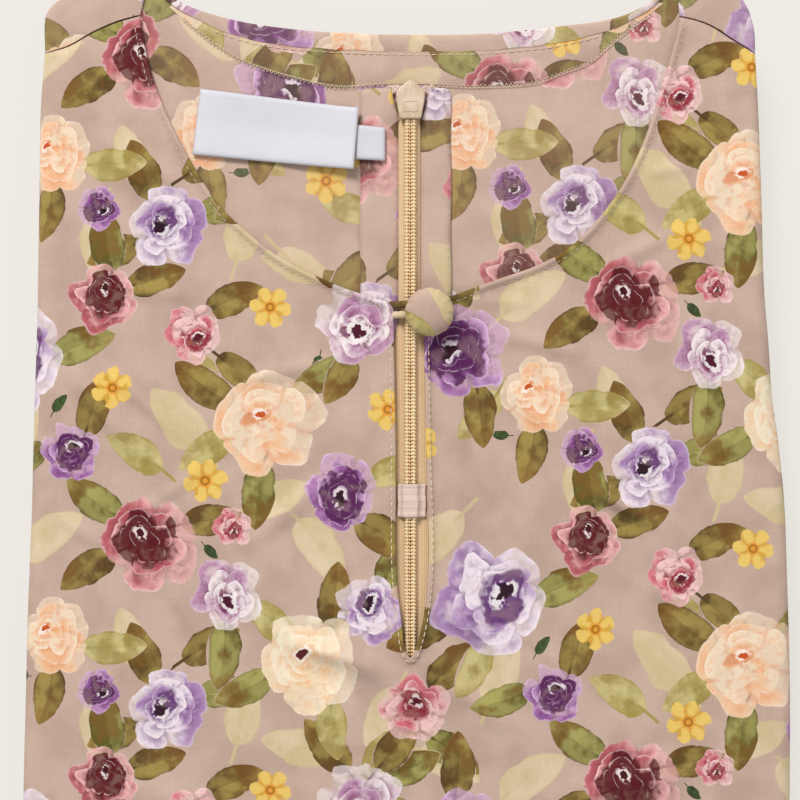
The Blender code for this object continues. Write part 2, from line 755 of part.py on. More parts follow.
def button():
    """A covered button: a domed disc on a short shank."""
    x, y = BUTTON_PLACE
    foot = HEIGHT + ZIP_RISE + GAP
    under = foot + 2.0 * LOOP_RADIUS + 0.7
    radius = BUTTON_RADIUS
    profile = [(SHANK_RADIUS, foot), (SHANK_RADIUS, under)]
    profile += [(0.62 * radius, under), (0.9 * radius, under + 0.5)]
    for share in (0.0, 0.2, 0.4, 0.6, 0.8):
        angle = 0.5 * math.pi * share
        height = BUTTON_RIM + (BUTTON_DOME - BUTTON_RIM) * math.sin(angle)
        profile.append((radius * math.cos(angle), under + height))
    sides = BUTTON_SIDES
    points, faces = [], []
    for r, z in profile:
        for i in range(sides):
            angle = 2.0 * math.pi * i / sides
            points.append(settled(x + r * math.cos(angle), y + r * math.sin(angle), z))
    for k in range(len(profile) - 1):
        for i in range(sides):
            a, b = k * sides + i, k * sides + (i + 1) % sides
            faces.append((a, b, b + sides, a + sides))
    points.append(settled(x, y, under + BUTTON_DOME))
    last = (len(profile) - 1) * sides
    faces += [(last + i, last + (i + 1) % sides, len(points) - 1) for i in range(sides)]
    faces.append(tuple(reversed(range(sides))))
    return add_mesh("button", points, faces, PRINT_CLOTH)


def button_loop():
    """A rouleau: one tube from the slit's edge round the shank and back."""
    x, y = BUTTON_PLACE
    turn = SHANK_RADIUS + GAP + LOOP_RADIUS
    high = HEIGHT + ZIP_RISE + LOOP_RADIUS + 0.4
    low = HEIGHT + ZIP_RISE + 0.1
    start, middle = LOOP_START
    route = [
        (start, middle + LOOP_SPREAD, low),
        (start + 1.1, middle + LOOP_SPREAD, low + 0.5),
        (start + 2.4, middle + LOOP_SPREAD, high),
        (1.0, middle + LOOP_SPREAD + 0.1, high),
        (4.5, y + turn - 0.1, high),
    ]
    for degrees in (80, 40, 0, -40, -80):
        angle = math.radians(degrees)
        route.append((x + turn * math.cos(angle), y + turn * math.sin(angle), high))
    route += [
        (4.5, y - turn + 0.1, high),
        (1.0, middle - LOOP_SPREAD - 0.5, high),
        (start + 2.4, middle - LOOP_SPREAD, high),
        (start + 1.1, middle - LOOP_SPREAD, low + 0.5),
        (start, middle - LOOP_SPREAD, low),
    ]
    line = through(route, 1.6)
    along = np.gradient(line, axis=0)
    sides = LOOP_SIDES
    points, faces = [], []
    for place, direction in zip(line, along):
        direction = direction / np.linalg.norm(direction)
        across = np.cross((0.0, 0.0, 1.0), direction)
        across /= np.linalg.norm(across)
        up = np.cross(direction, across)
        for i in range(sides):
            angle = 2.0 * math.pi * i / sides
            p = place + LOOP_RADIUS * (math.cos(angle) * across + math.sin(angle) * up)
            points.append(settled(*p))
    for k in range(len(line) - 1):
        for i in range(sides):
            a, b = k * sides + i, k * sides + (i + 1) % sides
            faces.append((a, b, b + sides, a + sides))
    faces.append(tuple(reversed(range(sides))))
    faces.append(tuple(range((len(line) - 1) * sides, len(line) * sides)))
    return add_mesh("button_loop", points, faces, PRINT_CLOTH)


# ---- Hidden layers ------------------------------------------------------------------------------

HIDDEN_TOP = (  # anticlockwise, from the right side over the shoulders to the left side
    (113.4, 140.6),
    (110.6, 149.5),
    (102.5, 155.6),
    (92.0, 158.0),
    (79.0, 151.0),
    (61.0, 144.5),
    (31.0, 140.5),
    (1.0, 139.8),
    (-29.0, 141.0),
    (-59.0, 144.6),
    (-77.0, 150.4),
    (-88.5, 158.0),
    (-101.0, 155.6),
    (-113.0, 149.5),
    (-117.6, 140.6),
)


def hidden_outline(step):
    sides = side_outline(step)
    top = through(HIDDEN_TOP, step)
    return np.vstack([sides, top[1:-1]])


def body(name, rings, top_depth, top_lines, bottom):
    """A closed body from rings of (x, y, z): the upper ring is filled by depths, the lower one flat."""
    size = len(rings[0])
    points, faces = [], []
    for ring in rings:
        points += [settled(*p) for p in ring]
    for k in range(len(rings) - 1):
        for i in range(size):
            a, b = k * size + i, k * size + (i + 1) % size
            faces.append((a, a + size, b + size, b))
    for ring, first, upward in ((rings[0], 0, True), (rings[-1], (len(rings) - 1) * size, False)):
        edge = np.array([p[:2] for p in ring])
        spacing = 1.2 * LATTICE if top_lines and upward else 2.0 * LATTICE
        flat, filled, origin = triangles_in(edge, top_lines if upward else [], spacing)
        index = {}
        for made, found in enumerate(origin):
            on_edge = [g for g in found if g < size]
            if on_edge:
                index[made] = first + on_edge[0]
            else:
                index[made] = len(points)
                x, y = flat[made]
                points.append(settled(x, y, HEIGHT - top_depth(x, y)) if upward else settled(x, y, bottom))
        for f in filled:
            face = tuple(index[i] for i in f)
            faces.append(face if upward else face[::-1])
    return add_mesh(name, points, faces, HIDDEN_CLOTH)


def panel_shadow(grow):
    """Round the stretch under the back halves, grown by a distance: the hidden layers sink there."""
    left = moved_in(through(LEFT_NECK, 12.0), -(UNDER_NECK + grow))
    right = moved_in(through(RIGHT_NECK, 12.0), UNDER_NECK + grow)
    left = np.array([p for p in left if p[1] > NECK_END])
    right = np.array([p for p in right if p[1] > NECK_END])
    side = SHADOW_SIDE + grow
    low = BACK_LOW - grow
    rows = np.linspace(UNDER_CORNER, low, 8)
    down = np.column_stack([np.full(len(rows), ZIP_X - side), rows])
    up = np.column_stack([np.full(len(rows), ZIP_X + side), rows[::-1]])
    return np.vstack([left, down, [(ZIP_X, low)], up, right[::-1]])


def second_edge(x, y, low_zone):
    """How far inside the outline the tunic's second fold ends at a place: a little more here and there."""
    size, middle, half = PEEK
    peek = size * smooth(1.0 - abs(y - middle) / half) if x > 0.0 else 0.0
    wave = 0.5 * math.sin(0.043 * y + 0.9) + 0.4 * math.sin(0.071 * x)
    return 1.0 + wave - peek + 5.2 * low_zone


def tunic_folds():
    """The hidden layers of the tunic, in one body: one thick fold inside the front's turn, one below."""
    outline = hidden_outline(OUTLINE_STEP)
    normals = inward(outline, closed=True)
    seat = SKIRT_TOP + GAP
    rings = [[] for _ in range(len(TURN_SHARES) + len(SECOND_FOLD_TURN) + 3)]
    for place, normal in zip(outline, normals):
        x, y = place
        top_zone = smooth((y - SHOULDER_START) / SHOULDER_RUN)
        low_zone = smooth((LOW_CHANGE[0] - y) / LOW_CHANGE[1])
        sunk = smooth((y - SHOULDER_START) / SINK_RUN)
        turn = SIDE_ROUND + (LOWER_ROUND - SIDE_ROUND) * low_zone
        extra = SHOULDER_INSET * top_zone + FRONT_CLEARANCE
        top = HEIGHT - BACK_DEPTH - BACK_DEPTH * sunk
        groove = HEIGHT - 2.0 * turn - 0.25
        radius = 0.5 * (top - (HEIGHT - 2.0 * turn + BACK_DEPTH))
        centre = extra + BACK_DEPTH + radius
        row = []
        for share in (0.0,) + TURN_SHARES:
            angle = share * WRAP
            p = place + normal * (centre - radius * math.sin(angle))
            row.append((*p, top - radius + radius * math.cos(angle)))
        p = place + normal * (centre + 0.1)
        row.append((*p, groove + 0.1))
        second = 0.5 * (groove - seat)
        edge = extra + second_edge(x, y, low_zone)
        for degrees in SECOND_FOLD_TURN:
            angle = math.radians(degrees)
            p = place + normal * (edge + second - second * math.sin(angle))
            row.append((*p, groove - second + second * math.cos(angle)))
        p = place + normal * (edge + second + 1.0)
        row.append((*p, seat))
        for ring, point in zip(rings, row):
            ring.append(point)

    near, far = panel_shadow(NEAR_SHADOW), panel_shadow(FAR_SHADOW)

    def depth(x, y):
        place = np.array((x, y))
        away = 0.0 if holds(near, place) else reach(place, near) / (FAR_SHADOW - NEAR_SHADOW)
        sunk = 0.0
        if y > SHOULDER_START:
            sunk = smooth((y - SHOULDER_START) / SINK_RUN) if abs(x) > 80.0 else 1.0
        return BACK_DEPTH + BACK_DEPTH * max(smooth(1.0 - away), sunk)

    ring = np.array([p[:2] for p in rings[0]])
    wall = np.vstack([ring, ring[:1]])
    lines = [np.array([p for p in line if holds(ring, p) and reach(p, wall) > 2.0]) for line in (near, far)]
    return body("tunic_folds", rings, depth, lines, seat)


def skirt_folds():
    """The skirt, folded flat under the tunic: two thick folds, the lower one a little out of line."""
    outline = hidden_outline(1.3 * OUTLINE_STEP)
    normals = inward(outline, closed=True)
    radius = 0.5 * SKIRT_FOLD
    rings = [[] for _ in range(9)]
    for place, normal in zip(outline, normals):
        x, y = place
        wave = 0.7 * math.sin(0.05 * y + 0.03 * x + 2.0)
        upper = SKIRT_INSET + wave
        lower = SKIRT_INSET + LOWER_INSET - wave
        for k, degrees in enumerate((0, 45, 90, 140)):
            angle = math.radians(degrees)
            p = place + normal * (upper + radius - radius * math.sin(angle))
            rings[k].append((*p, SKIRT_TOP - radius + radius * math.cos(angle)))
        p = place + normal * (max(upper, lower) + 0.75 * radius)
        rings[4].append((*p, SKIRT_FOLD))
        for k, degrees in enumerate((45, 90, 140, 180)):
            angle = math.radians(degrees)
            p = place + normal * (lower + radius - radius * math.sin(angle))
            rings[5 + k].append((*p, radius + radius * math.cos(angle)))
    return body("skirt_folds", rings, lambda x, y: HEIGHT - SKIRT_TOP, [], 0.0)


# ---- The whole garment --------------------------------------------------------------------------


def main():
    for old in list(bpy.data.objects):
        bpy.data.objects.remove(old, do_unlink=True)

    neck_line = through(BACK_NECK, 6.0)
    left_of, right_of = ZIP_X - 0.5 * GAP, ZIP_X + 0.5 * GAP
    right_part, _ = cut_at(neck_line, right_of)
    _, left_part = cut_at(neck_line, left_of)
    left_part = left_part[::-1]
    left_shoulder = through(LEFT_SHOULDER, SHOULDER_STEP)
    right_shoulder = through(RIGHT_SHOULDER[::-1], SHOULDER_STEP)
    left_seam, right_seam = through(LEFT_SEAM, SEAM_STEP), through(RIGHT_SEAM, SEAM_STEP)
    left_neck, right_neck = through(LEFT_NECK, NECK_STEP), through(RIGHT_NECK, NECK_STEP)

    front_panel()
    back_half("back_left", left_shoulder, left_seam, left_neck, left_part, left_of, -1)
    back_half("back_right", right_shoulder, right_seam, right_neck, right_part, right_of, 1)
    facing("back_facing_left", LEFT_FACING, left_part, -1)
    facing("back_facing_right", RIGHT_FACING, right_part, 1)
    allowance("seam_allowance_left", TAPE_LEFT, SLIT_TAPE_LEFT, ALLOWANCE_LEFT)
    allowance("seam_allowance_right", TAPE_RIGHT, SLIT_TAPE_RIGHT, ALLOWANCE_RIGHT)
    zip_tape("zip_tape_left", left_of, TAPE_LEFT, SLIT_TAPE_LEFT)
    zip_tape("zip_tape_right", right_of, TAPE_RIGHT, SLIT_TAPE_RIGHT)
    zip_coil("zip_coil_left", left_of - COIL_WIDTH, left_of)
    zip_coil("zip_coil_right", right_of, right_of + COIL_WIDTH)
    zip_slider()
    zip_tab()
    label("neck_label", NECK_LABEL, TRIM_BASE, LABEL_LIFT, LABEL_CURL, (16, 5))
    label("size_tab", SIZE_TAB, COIL_BASE, FLAT_LIFT, 0.0, (4, 4))
    button()
    button_loop()
    tunic_folds()
    skirt_folds()


main()
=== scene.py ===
# %% [markdown]
# A baju kurung set lies folded, face up. The tunic is on top with its round neck, centre-front slit,
# covered button and loop; the inside of its back, with the zip, shows through the neck. The skirt is
# folded flat under it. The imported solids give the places; each cloth piece here is made finer.

# %% Frame and sizes
import math

import bmesh
import bpy
import numpy as np
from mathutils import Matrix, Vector
from mathutils.geometry import delaunay_2d_cdt


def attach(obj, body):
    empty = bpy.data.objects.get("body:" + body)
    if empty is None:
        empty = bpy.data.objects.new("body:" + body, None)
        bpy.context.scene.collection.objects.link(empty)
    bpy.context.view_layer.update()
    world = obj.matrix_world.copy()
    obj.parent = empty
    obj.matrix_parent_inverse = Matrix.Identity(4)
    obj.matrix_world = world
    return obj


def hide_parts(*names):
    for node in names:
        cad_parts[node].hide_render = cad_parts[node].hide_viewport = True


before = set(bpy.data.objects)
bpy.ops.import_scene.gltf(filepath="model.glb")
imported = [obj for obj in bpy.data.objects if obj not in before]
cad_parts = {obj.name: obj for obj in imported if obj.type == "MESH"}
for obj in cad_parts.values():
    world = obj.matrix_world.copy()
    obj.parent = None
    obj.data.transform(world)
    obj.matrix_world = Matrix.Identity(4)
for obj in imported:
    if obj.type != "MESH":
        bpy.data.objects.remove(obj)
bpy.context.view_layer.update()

MM = 0.001
HEIGHT = 26.0  # the tunic's front above the floor
GAP = 0.3  # between pieces that lie on each other
LEFT, RIGHT = -1, 1  # a side, as the sign of its X
BACK_DEPTH = 1.5  # how far the back halves lie below the front
TRIM_DEPTH = 0.2  # and the rolled edge that lies on them

# %% [markdown]
# Materials here are worked out from numbers, so writing them as maths is clearest. A small class stands
# for one output of a node, and the usual operators on it add Math nodes. A second class adds any other
# node from its type, its settings and what its inputs take, in a material or in Geometry Nodes.

# %% Shader maths as expressions
class Wire:
    """One output of a node."""

    def __init__(self, tree, socket):
        self.tree = tree
        self.socket = socket

    def other(self, name):
        """Another output of the same node."""
        return Wire(self.tree, self.socket.node.outputs[name])

    def __add__(self, other):
        return self.tree.math("ADD", self, other)

    def __sub__(self, other):
        return self.tree.math("SUBTRACT", self, other)

    def __rsub__(self, other):
        return self.tree.math("SUBTRACT", other, self)

    def __mul__(self, other):
        return self.tree.math("MULTIPLY", self, other)

    def __truediv__(self, other):
        return self.tree.math("DIVIDE", self, other)

    def __pow__(self, other):
        return self.tree.math("POWER", self, other)

    def __abs__(self):
        return self.tree.math("ABSOLUTE", self)

    __radd__ = __add__
    __rmul__ = __mul__


class Graph:
    """The nodes of a material or a node group, and the calls that add to them."""

    def __init__(self, owner):
        self.nodes = owner.nodes
        self.links = owner.links

    def feed(self, socket, value):
        if isinstance(value, Wire):
            self.links.new(value.socket, socket)
        elif isinstance(value, tuple) and len(value) == 3 and socket.type == "RGBA":
            socket.default_value = (*value, 1.0)
        else:
            socket.default_value = value

    def node(self, kind, settings, inputs, output=0):
        made = self.nodes.new(kind)
        for key, value in settings.items():
            if key == "stops":
                set_stops(made.color_ramp, value)
            else:
                setattr(made, key, value)
        for key, value in inputs.items():
            self.feed(made.inputs[key], value)
        return Wire(self, made.outputs[output])

    def math(self, operation, *values):
        return self.node("ShaderNodeMath", {"operation": operation}, dict(enumerate(values)))


class Tree(Graph):
    """A new material's nodes."""

    def __init__(self, name):
        self.material = bpy.data.materials.new(name)
        self.material.use_nodes = True
        super().__init__(self.material.node_tree)
        self.shader = self.nodes["Principled BSDF"]

    def mix(self, share, a, b):
        inputs = {0: share, 6: a, 7: b}
        return self.node("ShaderNodeMix", {"data_type": "RGBA"}, inputs, 2)

    def blend(self, share, a, b):
        """The same mix for numbers."""
        return self.node("ShaderNodeMix", {"data_type": "FLOAT"}, {0: share, 2: a, 3: b})

    def step(self, value, low, high):
        """0 below low to 1 above high, or the other way where low is the larger."""
        inputs = {"Value": value, "From Min": low, "From Max": high}
        return self.node("ShaderNodeMapRange", {"interpolation_type": "SMOOTHSTEP"}, inputs)

    def vector(self, x, y, z=0.0):
        return self.node("ShaderNodeCombineXYZ", {}, {0: x, 1: y, 2: z})

    def split(self, vector):
        return [self.node("ShaderNodeSeparateXYZ", {}, {0: vector}, i) for i in range(3)]

    def noise(self, vector, scale, detail=2.0, output=0):
        inputs = {"Vector": vector, "Scale": scale, "Detail": detail}
        return self.node("ShaderNodeTexNoise", {}, inputs, output)

    def by_kind(self, kind, values):
        """One colour, or number, for each whole number."""
        grey = not isinstance(values[0], tuple)
        stops = [(i / len(values), (v,) * 3 if grey else linear(v)) for i, v in enumerate(values)]
        return self.node("ShaderNodeValToRGB", {"stops": stops}, {0: (kind + 0.5) / len(values)})

    def attribute(self, name):
        return self.node("ShaderNodeAttribute", {"attribute_name": name}, {}, 1)

    def place(self):
        """A point's place on its piece, in metres."""
        return self.node("ShaderNodeTexCoord", {}, {}, 3)

    def tinted(self, tone, low, high, dark, colour):
        """From the dark to the light one of two screen colours, as the tone rises from low to high."""
        return self.mix(self.step(tone, low, high), linear(dark), linear(colour))

    def finish(self, colour, height, strength, depth, rough, **others):
        """Feeds the shader: its colour, a bump from a height, its roughness and any other input."""
        self.feed(self.shader.inputs["Base Color"], colour)
        bump = {"Strength": strength, "Distance": depth, "Height": height}
        self.feed(self.shader.inputs["Normal"], self.node("ShaderNodeBump", {}, bump))
        self.feed(self.shader.inputs["Roughness"], rough)
        for name, value in others.items():
            self.feed(self.shader.inputs[name.replace("_", " ")], value)
        return self.material


def set_stops(ramp, stops):
    ramp.interpolation = "CONSTANT"
    while len(ramp.elements) < len(stops):
        ramp.elements.new(1.0)
    for element, (place, colour) in zip(ramp.elements, stops):
        element.position = place
        element.color = (*colour, 1.0)


def linear(colour):
    """A colour from 0 to 255, as it looks on a screen, as the numbers that a shader takes."""
    shares = [c / 255.0 for c in colour]
    return tuple(c / 12.92 if c <= 0.04045 else ((c + 0.055) / 1.055) ** 2.4 for c in shares)


# %% [markdown]
# The cloth is covered in loose watercolour flowers. The print repeats, so its layout is a table for one
# repeat. A picture could hold it, but a motif drawn by maths stays sharp at any size. Each face of the
# cloth belongs, in each layer of the print, to the nearest motif, and its corners keep their place in
# that motif's own frame. The material then draws one flower for them all.

# %% Print layout
REPEAT = 156.0
LILAC, VIOLET, PEACH, WINE, PALE, PINK, CREAM = range(7)
OLIVE, GREEN, SAGE, DEEP, PALEST = range(5)
BLOOMS = (  # x, y, width, kind, turn, then each leaf: direction, length, kind
    (27, 120, 37, LILAC, 0.2, ((205, 23, OLIVE), (255, 20, SAGE), (8, 22, GREEN))),
    (58, 139, 22, WINE, 1.1, ((88, 22, GREEN), (20, 20, OLIVE))),
    (112, 99, 35, PEACH, 2.0, ((150, 23, OLIVE), (205, 20, SAGE), (262, 22, GREEN))),
    (135, 77, 25, VIOLET, 0.7, ((312, 23, OLIVE), (20, 19, SAGE))),
    (73, 60, 31, WINE, 2.9, ((142, 22, GREEN), (205, 21, OLIVE), (20, 20, OLIVE))),
    (98, 43, 23, PALE, 1.6, ((330, 20, SAGE), (265, 22, GREEN))),
    (18, 44, 30, VIOLET, 2.2, ((95, 22, OLIVE), (160, 21, GREEN), (285, 21, OLIVE))),
    (42, 30, 25, PEACH, 0.4, ((350, 21, SAGE), (262, 20, OLIVE))),
    (125, 21, 33, CREAM, 1.3, ((70, 22, OLIVE), (200, 21, GREEN), (290, 20, SAGE))),
    (144, 38, 23, LILAC, 2.6, ((60, 21, GREEN), (350, 18, OLIVE))),
    (141, 132, 28, PALE, 0.9, ((120, 22, OLIVE), (35, 20, GREEN), (250, 19, OLIVE))),
    (47, 89, 19, VIOLET, 1.9, ((185, 20, GREEN), (60, 21, OLIVE))),
    (87, 128, 19, PINK, 0.1, ((38, 20, OLIVE), (285, 20, SAGE))),
    (3, 84, 22, PINK, 2.4, ((50, 21, OLIVE), (235, 20, SAGE), (310, 21, GREEN))),
    (79, 6, 26, LILAC, 1.5, ((115, 21, OLIVE), (15, 20, GREEN), (205, 19, OLIVE))),
    (56, 12, 14, VIOLET, 0.6, ()),
    (100, 65, 13, PINK, 2.2, ()),
)
DAISIES = (  # x, y, width, turn
    (91, 80, 16, 0.3), (112, 136, 15, 1.2), (61, 110, 15, 0.8), (3, 14, 16, 2.1),
    (150, 103, 15, 0.1),
)
GHOSTS = (  # x, y, length, turn
    (41, 62, 25, 0.6), (82, 100, 26, 2.3), (128, 57, 25, 5.3), (9, 139, 25, 3.9), (103, 6, 23, 1.4),
    (57, 157, 23, 4.6), (120, 150, 23, 2.9), (14, 66, 22, 5.8), (148, 4, 22, 4.2),
    (31, 95, 22, 1.1), (114, 75, 22, 0.4), (68, 29, 22, 2.0),
)
CALYXES = ((44, 105, 7, 0.9), (93, 57, 6, 5.5), (127, 117, 7, 4.4), (30, 17, 6, 3.0), (151, 60, 7, 1.9))
SPRIGS = (  # single leaves: x, y, length, turn, kind
    (93, 27, 21, 0.5, OLIVE), (31, 73, 20, 5.2, OLIVE), (128, 114, 20, 3.6, GREEN),
    (68, 89, 21, 2.6, SAGE), (153, 151, 21, 0.9, OLIVE), (23, 23, 20, 4.0, SAGE),
    (103, 114, 20, 5.6, OLIVE),
)

# %% Motifs, and the layers that they go in
LEAF_START = 0.38  # a leaf begins this share of its flower's width from the middle
CLEARANCE = 1.06  # room left round each motif of a layer


def motifs():
    """Every motif: its layer's stem, x, y, size, turn, kind and seed, the last between 0.1 and 0.9."""
    found = {"bloom": [], "leaf": [], "daisy": [], "ghost": []}
    dice = np.random.default_rng(11)

    def seed():
        return dice.uniform(0.1, 0.9)

    for x, y, width, kind, turn, leaves in BLOOMS:
        found["bloom"].append((x, y, 0.5 * width, turn, kind, seed()))
        for direction, length, tint in leaves:
            angle = math.radians(direction)
            away = LEAF_START * width + 0.5 * length
            place = (x + away * math.cos(angle), y + away * math.sin(angle))
            angle += dice.uniform(-0.25, 0.25)
            found["leaf"].append((*place, length, angle, tint, seed()))
    for x, y, width, turn in DAISIES:
        found["daisy"].append((x, y, 0.5 * width, turn, 0, seed()))
    for x, y, length, turn in GHOSTS:
        found["ghost"].append((x, y, length, turn, PALEST, seed()))
    for x, y, length, turn, tint in SPRIGS:
        found["leaf"].append((x, y, length, turn, tint, seed()))
    for x, y, length, turn in CALYXES:
        found["leaf"].append((x, y, length, turn, DEEP, seed()))
    return found


def wrapped(offset):
    """The shortest way to a motif: each column of the print is half a repeat lower than the last."""
    column = np.round(offset[..., 0] / REPEAT)
    x, y = offset[..., 0] - REPEAT * column, offset[..., 1] - 0.5 * REPEAT * column
    return np.stack([x, y - REPEAT * np.round(y / REPEAT)], axis=-1)


def layered(family, count, half):
    """Layers in which no motif reaches into another. half is a motif's half size in its frame."""
    layers = [[] for _ in range(count)]
    angles = np.linspace(0.0, 2.0 * math.pi, 20, endpoint=False)
    ring = np.column_stack([half[0] * np.cos(angles), half[1] * np.sin(angles)])
    for motif in family:
        for layer in layers:
            if not any(meets(motif, other, ring, half) for other in layer):
                layer.append(motif)
                break
    return layers


def meets(one, other, ring, half):
    for a, b in ((one, other), (other, one)):
        c, s = math.cos(a[3]), math.sin(a[3])
        world = a[2] * ring @ np.array(((c, s), (-s, c))) * CLEARANCE
        offset = wrapped(np.array(a[:2]) - np.array(b[:2])) + world
        c, s = math.cos(b[3]), math.sin(b[3])
        local = offset @ np.array(((c, -s), (s, c))) / b[2]
        if (((local / half) ** 2).sum(axis=1) < 1.0).any():
            return True
    return False


BLOOM_HALF, LEAF_HALF, DAISY_HALF = (1.08, 1.08), (0.62, 0.38), (1.08, 1.08)
FAMILIES = motifs()
LAYERS = {"daisy_a": (FAMILIES["daisy"], DAISY_HALF), "ghost_a": (FAMILIES["ghost"], LEAF_HALF)}
for family, half, names in (
    ("bloom", BLOOM_HALF, ("bloom_a", "bloom_b")),
    ("leaf", LEAF_HALF, ("leaf_a", "leaf_b", "leaf_c")),
):
    for name, layer in zip(names, layered(FAMILIES[family], len(names), half)):
        LAYERS[name] = (layer, half)
print({name: len(layer) for name, (layer, _) in LAYERS.items()})

# %% Corner attributes
def lay_print(mesh, flat):
    """Writes each layer's attribute from the places of the mesh's points in the flat cloth."""
    corners = np.empty(len(mesh.loops), np.int32)
    mesh.loops.foreach_get("vertex_index", corners)
    sizes = np.empty(len(mesh.polygons), np.int32)
    mesh.polygons.foreach_get("loop_total", sizes)
    places = np.asarray(flat, float)[corners]
    face_of = np.repeat(np.arange(len(sizes)), sizes)
    middles = np.add.reduceat(places, np.r_[0, np.cumsum(sizes)[:-1]]) / sizes[:, None]
    for name, (layer, half) in LAYERS.items():
        best = np.full(len(middles), np.inf)
        owner = np.zeros(len(middles), int)
        for i, motif in enumerate(layer):
            local = in_frame(wrapped(middles - motif[:2]), motif)
            far = (np.sqrt(((local / half) ** 2).sum(axis=1)) - 1.0) * motif[2]
            owner[far < best] = i
            best = np.minimum(far, best)
        table = np.array(layer)
        mine = table[owner]
        offset = wrapped(middles - mine[:, :2])[face_of] + places - middles[face_of]
        values = np.empty((len(corners), 3), np.float32)
        values[:, :2] = in_frame(offset, mine[face_of].T)
        values[:, 2] = (mine[:, 4] + mine[:, 5])[face_of]
        made = mesh.attributes.new(name, "FLOAT_VECTOR", "CORNER")
        made.data.foreach_set("vector", values.ravel())
    made = mesh.uv_layers.new(name="cloth")
    made.uv.foreach_set("vector", (0.01 * places).astype(np.float32).ravel())


def in_frame(offset, motif):
    """A place in a motif's own frame, in which its size is 1."""
    c, s, size = np.cos(motif[3]), np.sin(motif[3]), motif[2]
    x, y = offset[:, 0], offset[:, 1]
    return np.column_stack([(c * x + s * y) / size, (c * y - s * x) / size])


# %% [markdown]
# A watercolour flower is a few washes of one colour: petals overlap in rings round a heart that is a
# little off centre, each petal is palest at its rim, and colour pools where the next ring covers it.
# So the flower is four wavy rings, drawn from the outside in. One function draws every kind, and the
# kind only picks the colours.

# %% Flowers
RINGS = (  # radius, half the number of petals, turn
    (1.0, 2.5, 0.0),
    (0.74, 2.5, 1.9),
    (0.52, 2.0, 0.7),
    (0.33, 1.5, 2.6),
)
LOBE_FOOT, LOBE_DEPTH, LOBE_ROUND = 0.80, 0.22, 0.55  # petals: their foot, length beyond it and shape
KINDS = (  # palest, middle and deep wash, heart; the heart's size, the deep's reach, the rims' strength
    ((240, 226, 236), (156, 108, 170), (96, 48, 110), (40, 8, 32), 0.17, 0.42, 0.34),
    ((212, 168, 212), (134, 62, 142), (84, 24, 82), (42, 6, 32), 0.16, 0.80, 0.44),
    ((242, 220, 192), (240, 184, 140), (226, 146, 96), (196, 84, 34), 0.09, 0.16, 0.38),
    ((236, 174, 174), (170, 56, 74), (86, 4, 20), (62, 2, 14), 0.12, 0.76, 0.42),
    ((244, 230, 232), (182, 124, 166), (116, 44, 92), (72, 10, 40), 0.20, 0.38, 0.30),
    ((244, 200, 200), (206, 90, 108), (140, 22, 48), (88, 10, 32), 0.14, 0.46, 0.34),
    ((240, 226, 200), (236, 208, 172), (232, 176, 126), (92, 22, 30), 0.10, 0.18, 0.34),
)
LIGHTS, MIDS, DEEPS, HEARTS, HEART_SIZES, CORES, RIMS = zip(*KINDS)


def bent(tree, x, y, base):
    """The same place after a noise has bent the flower out of round."""
    bend = tree.split(tree.noise(base, 1.3, 1.0, 1))
    return x + (bend[0] - 0.5) * 0.6, y + (bend[1] - 0.5) * 0.6


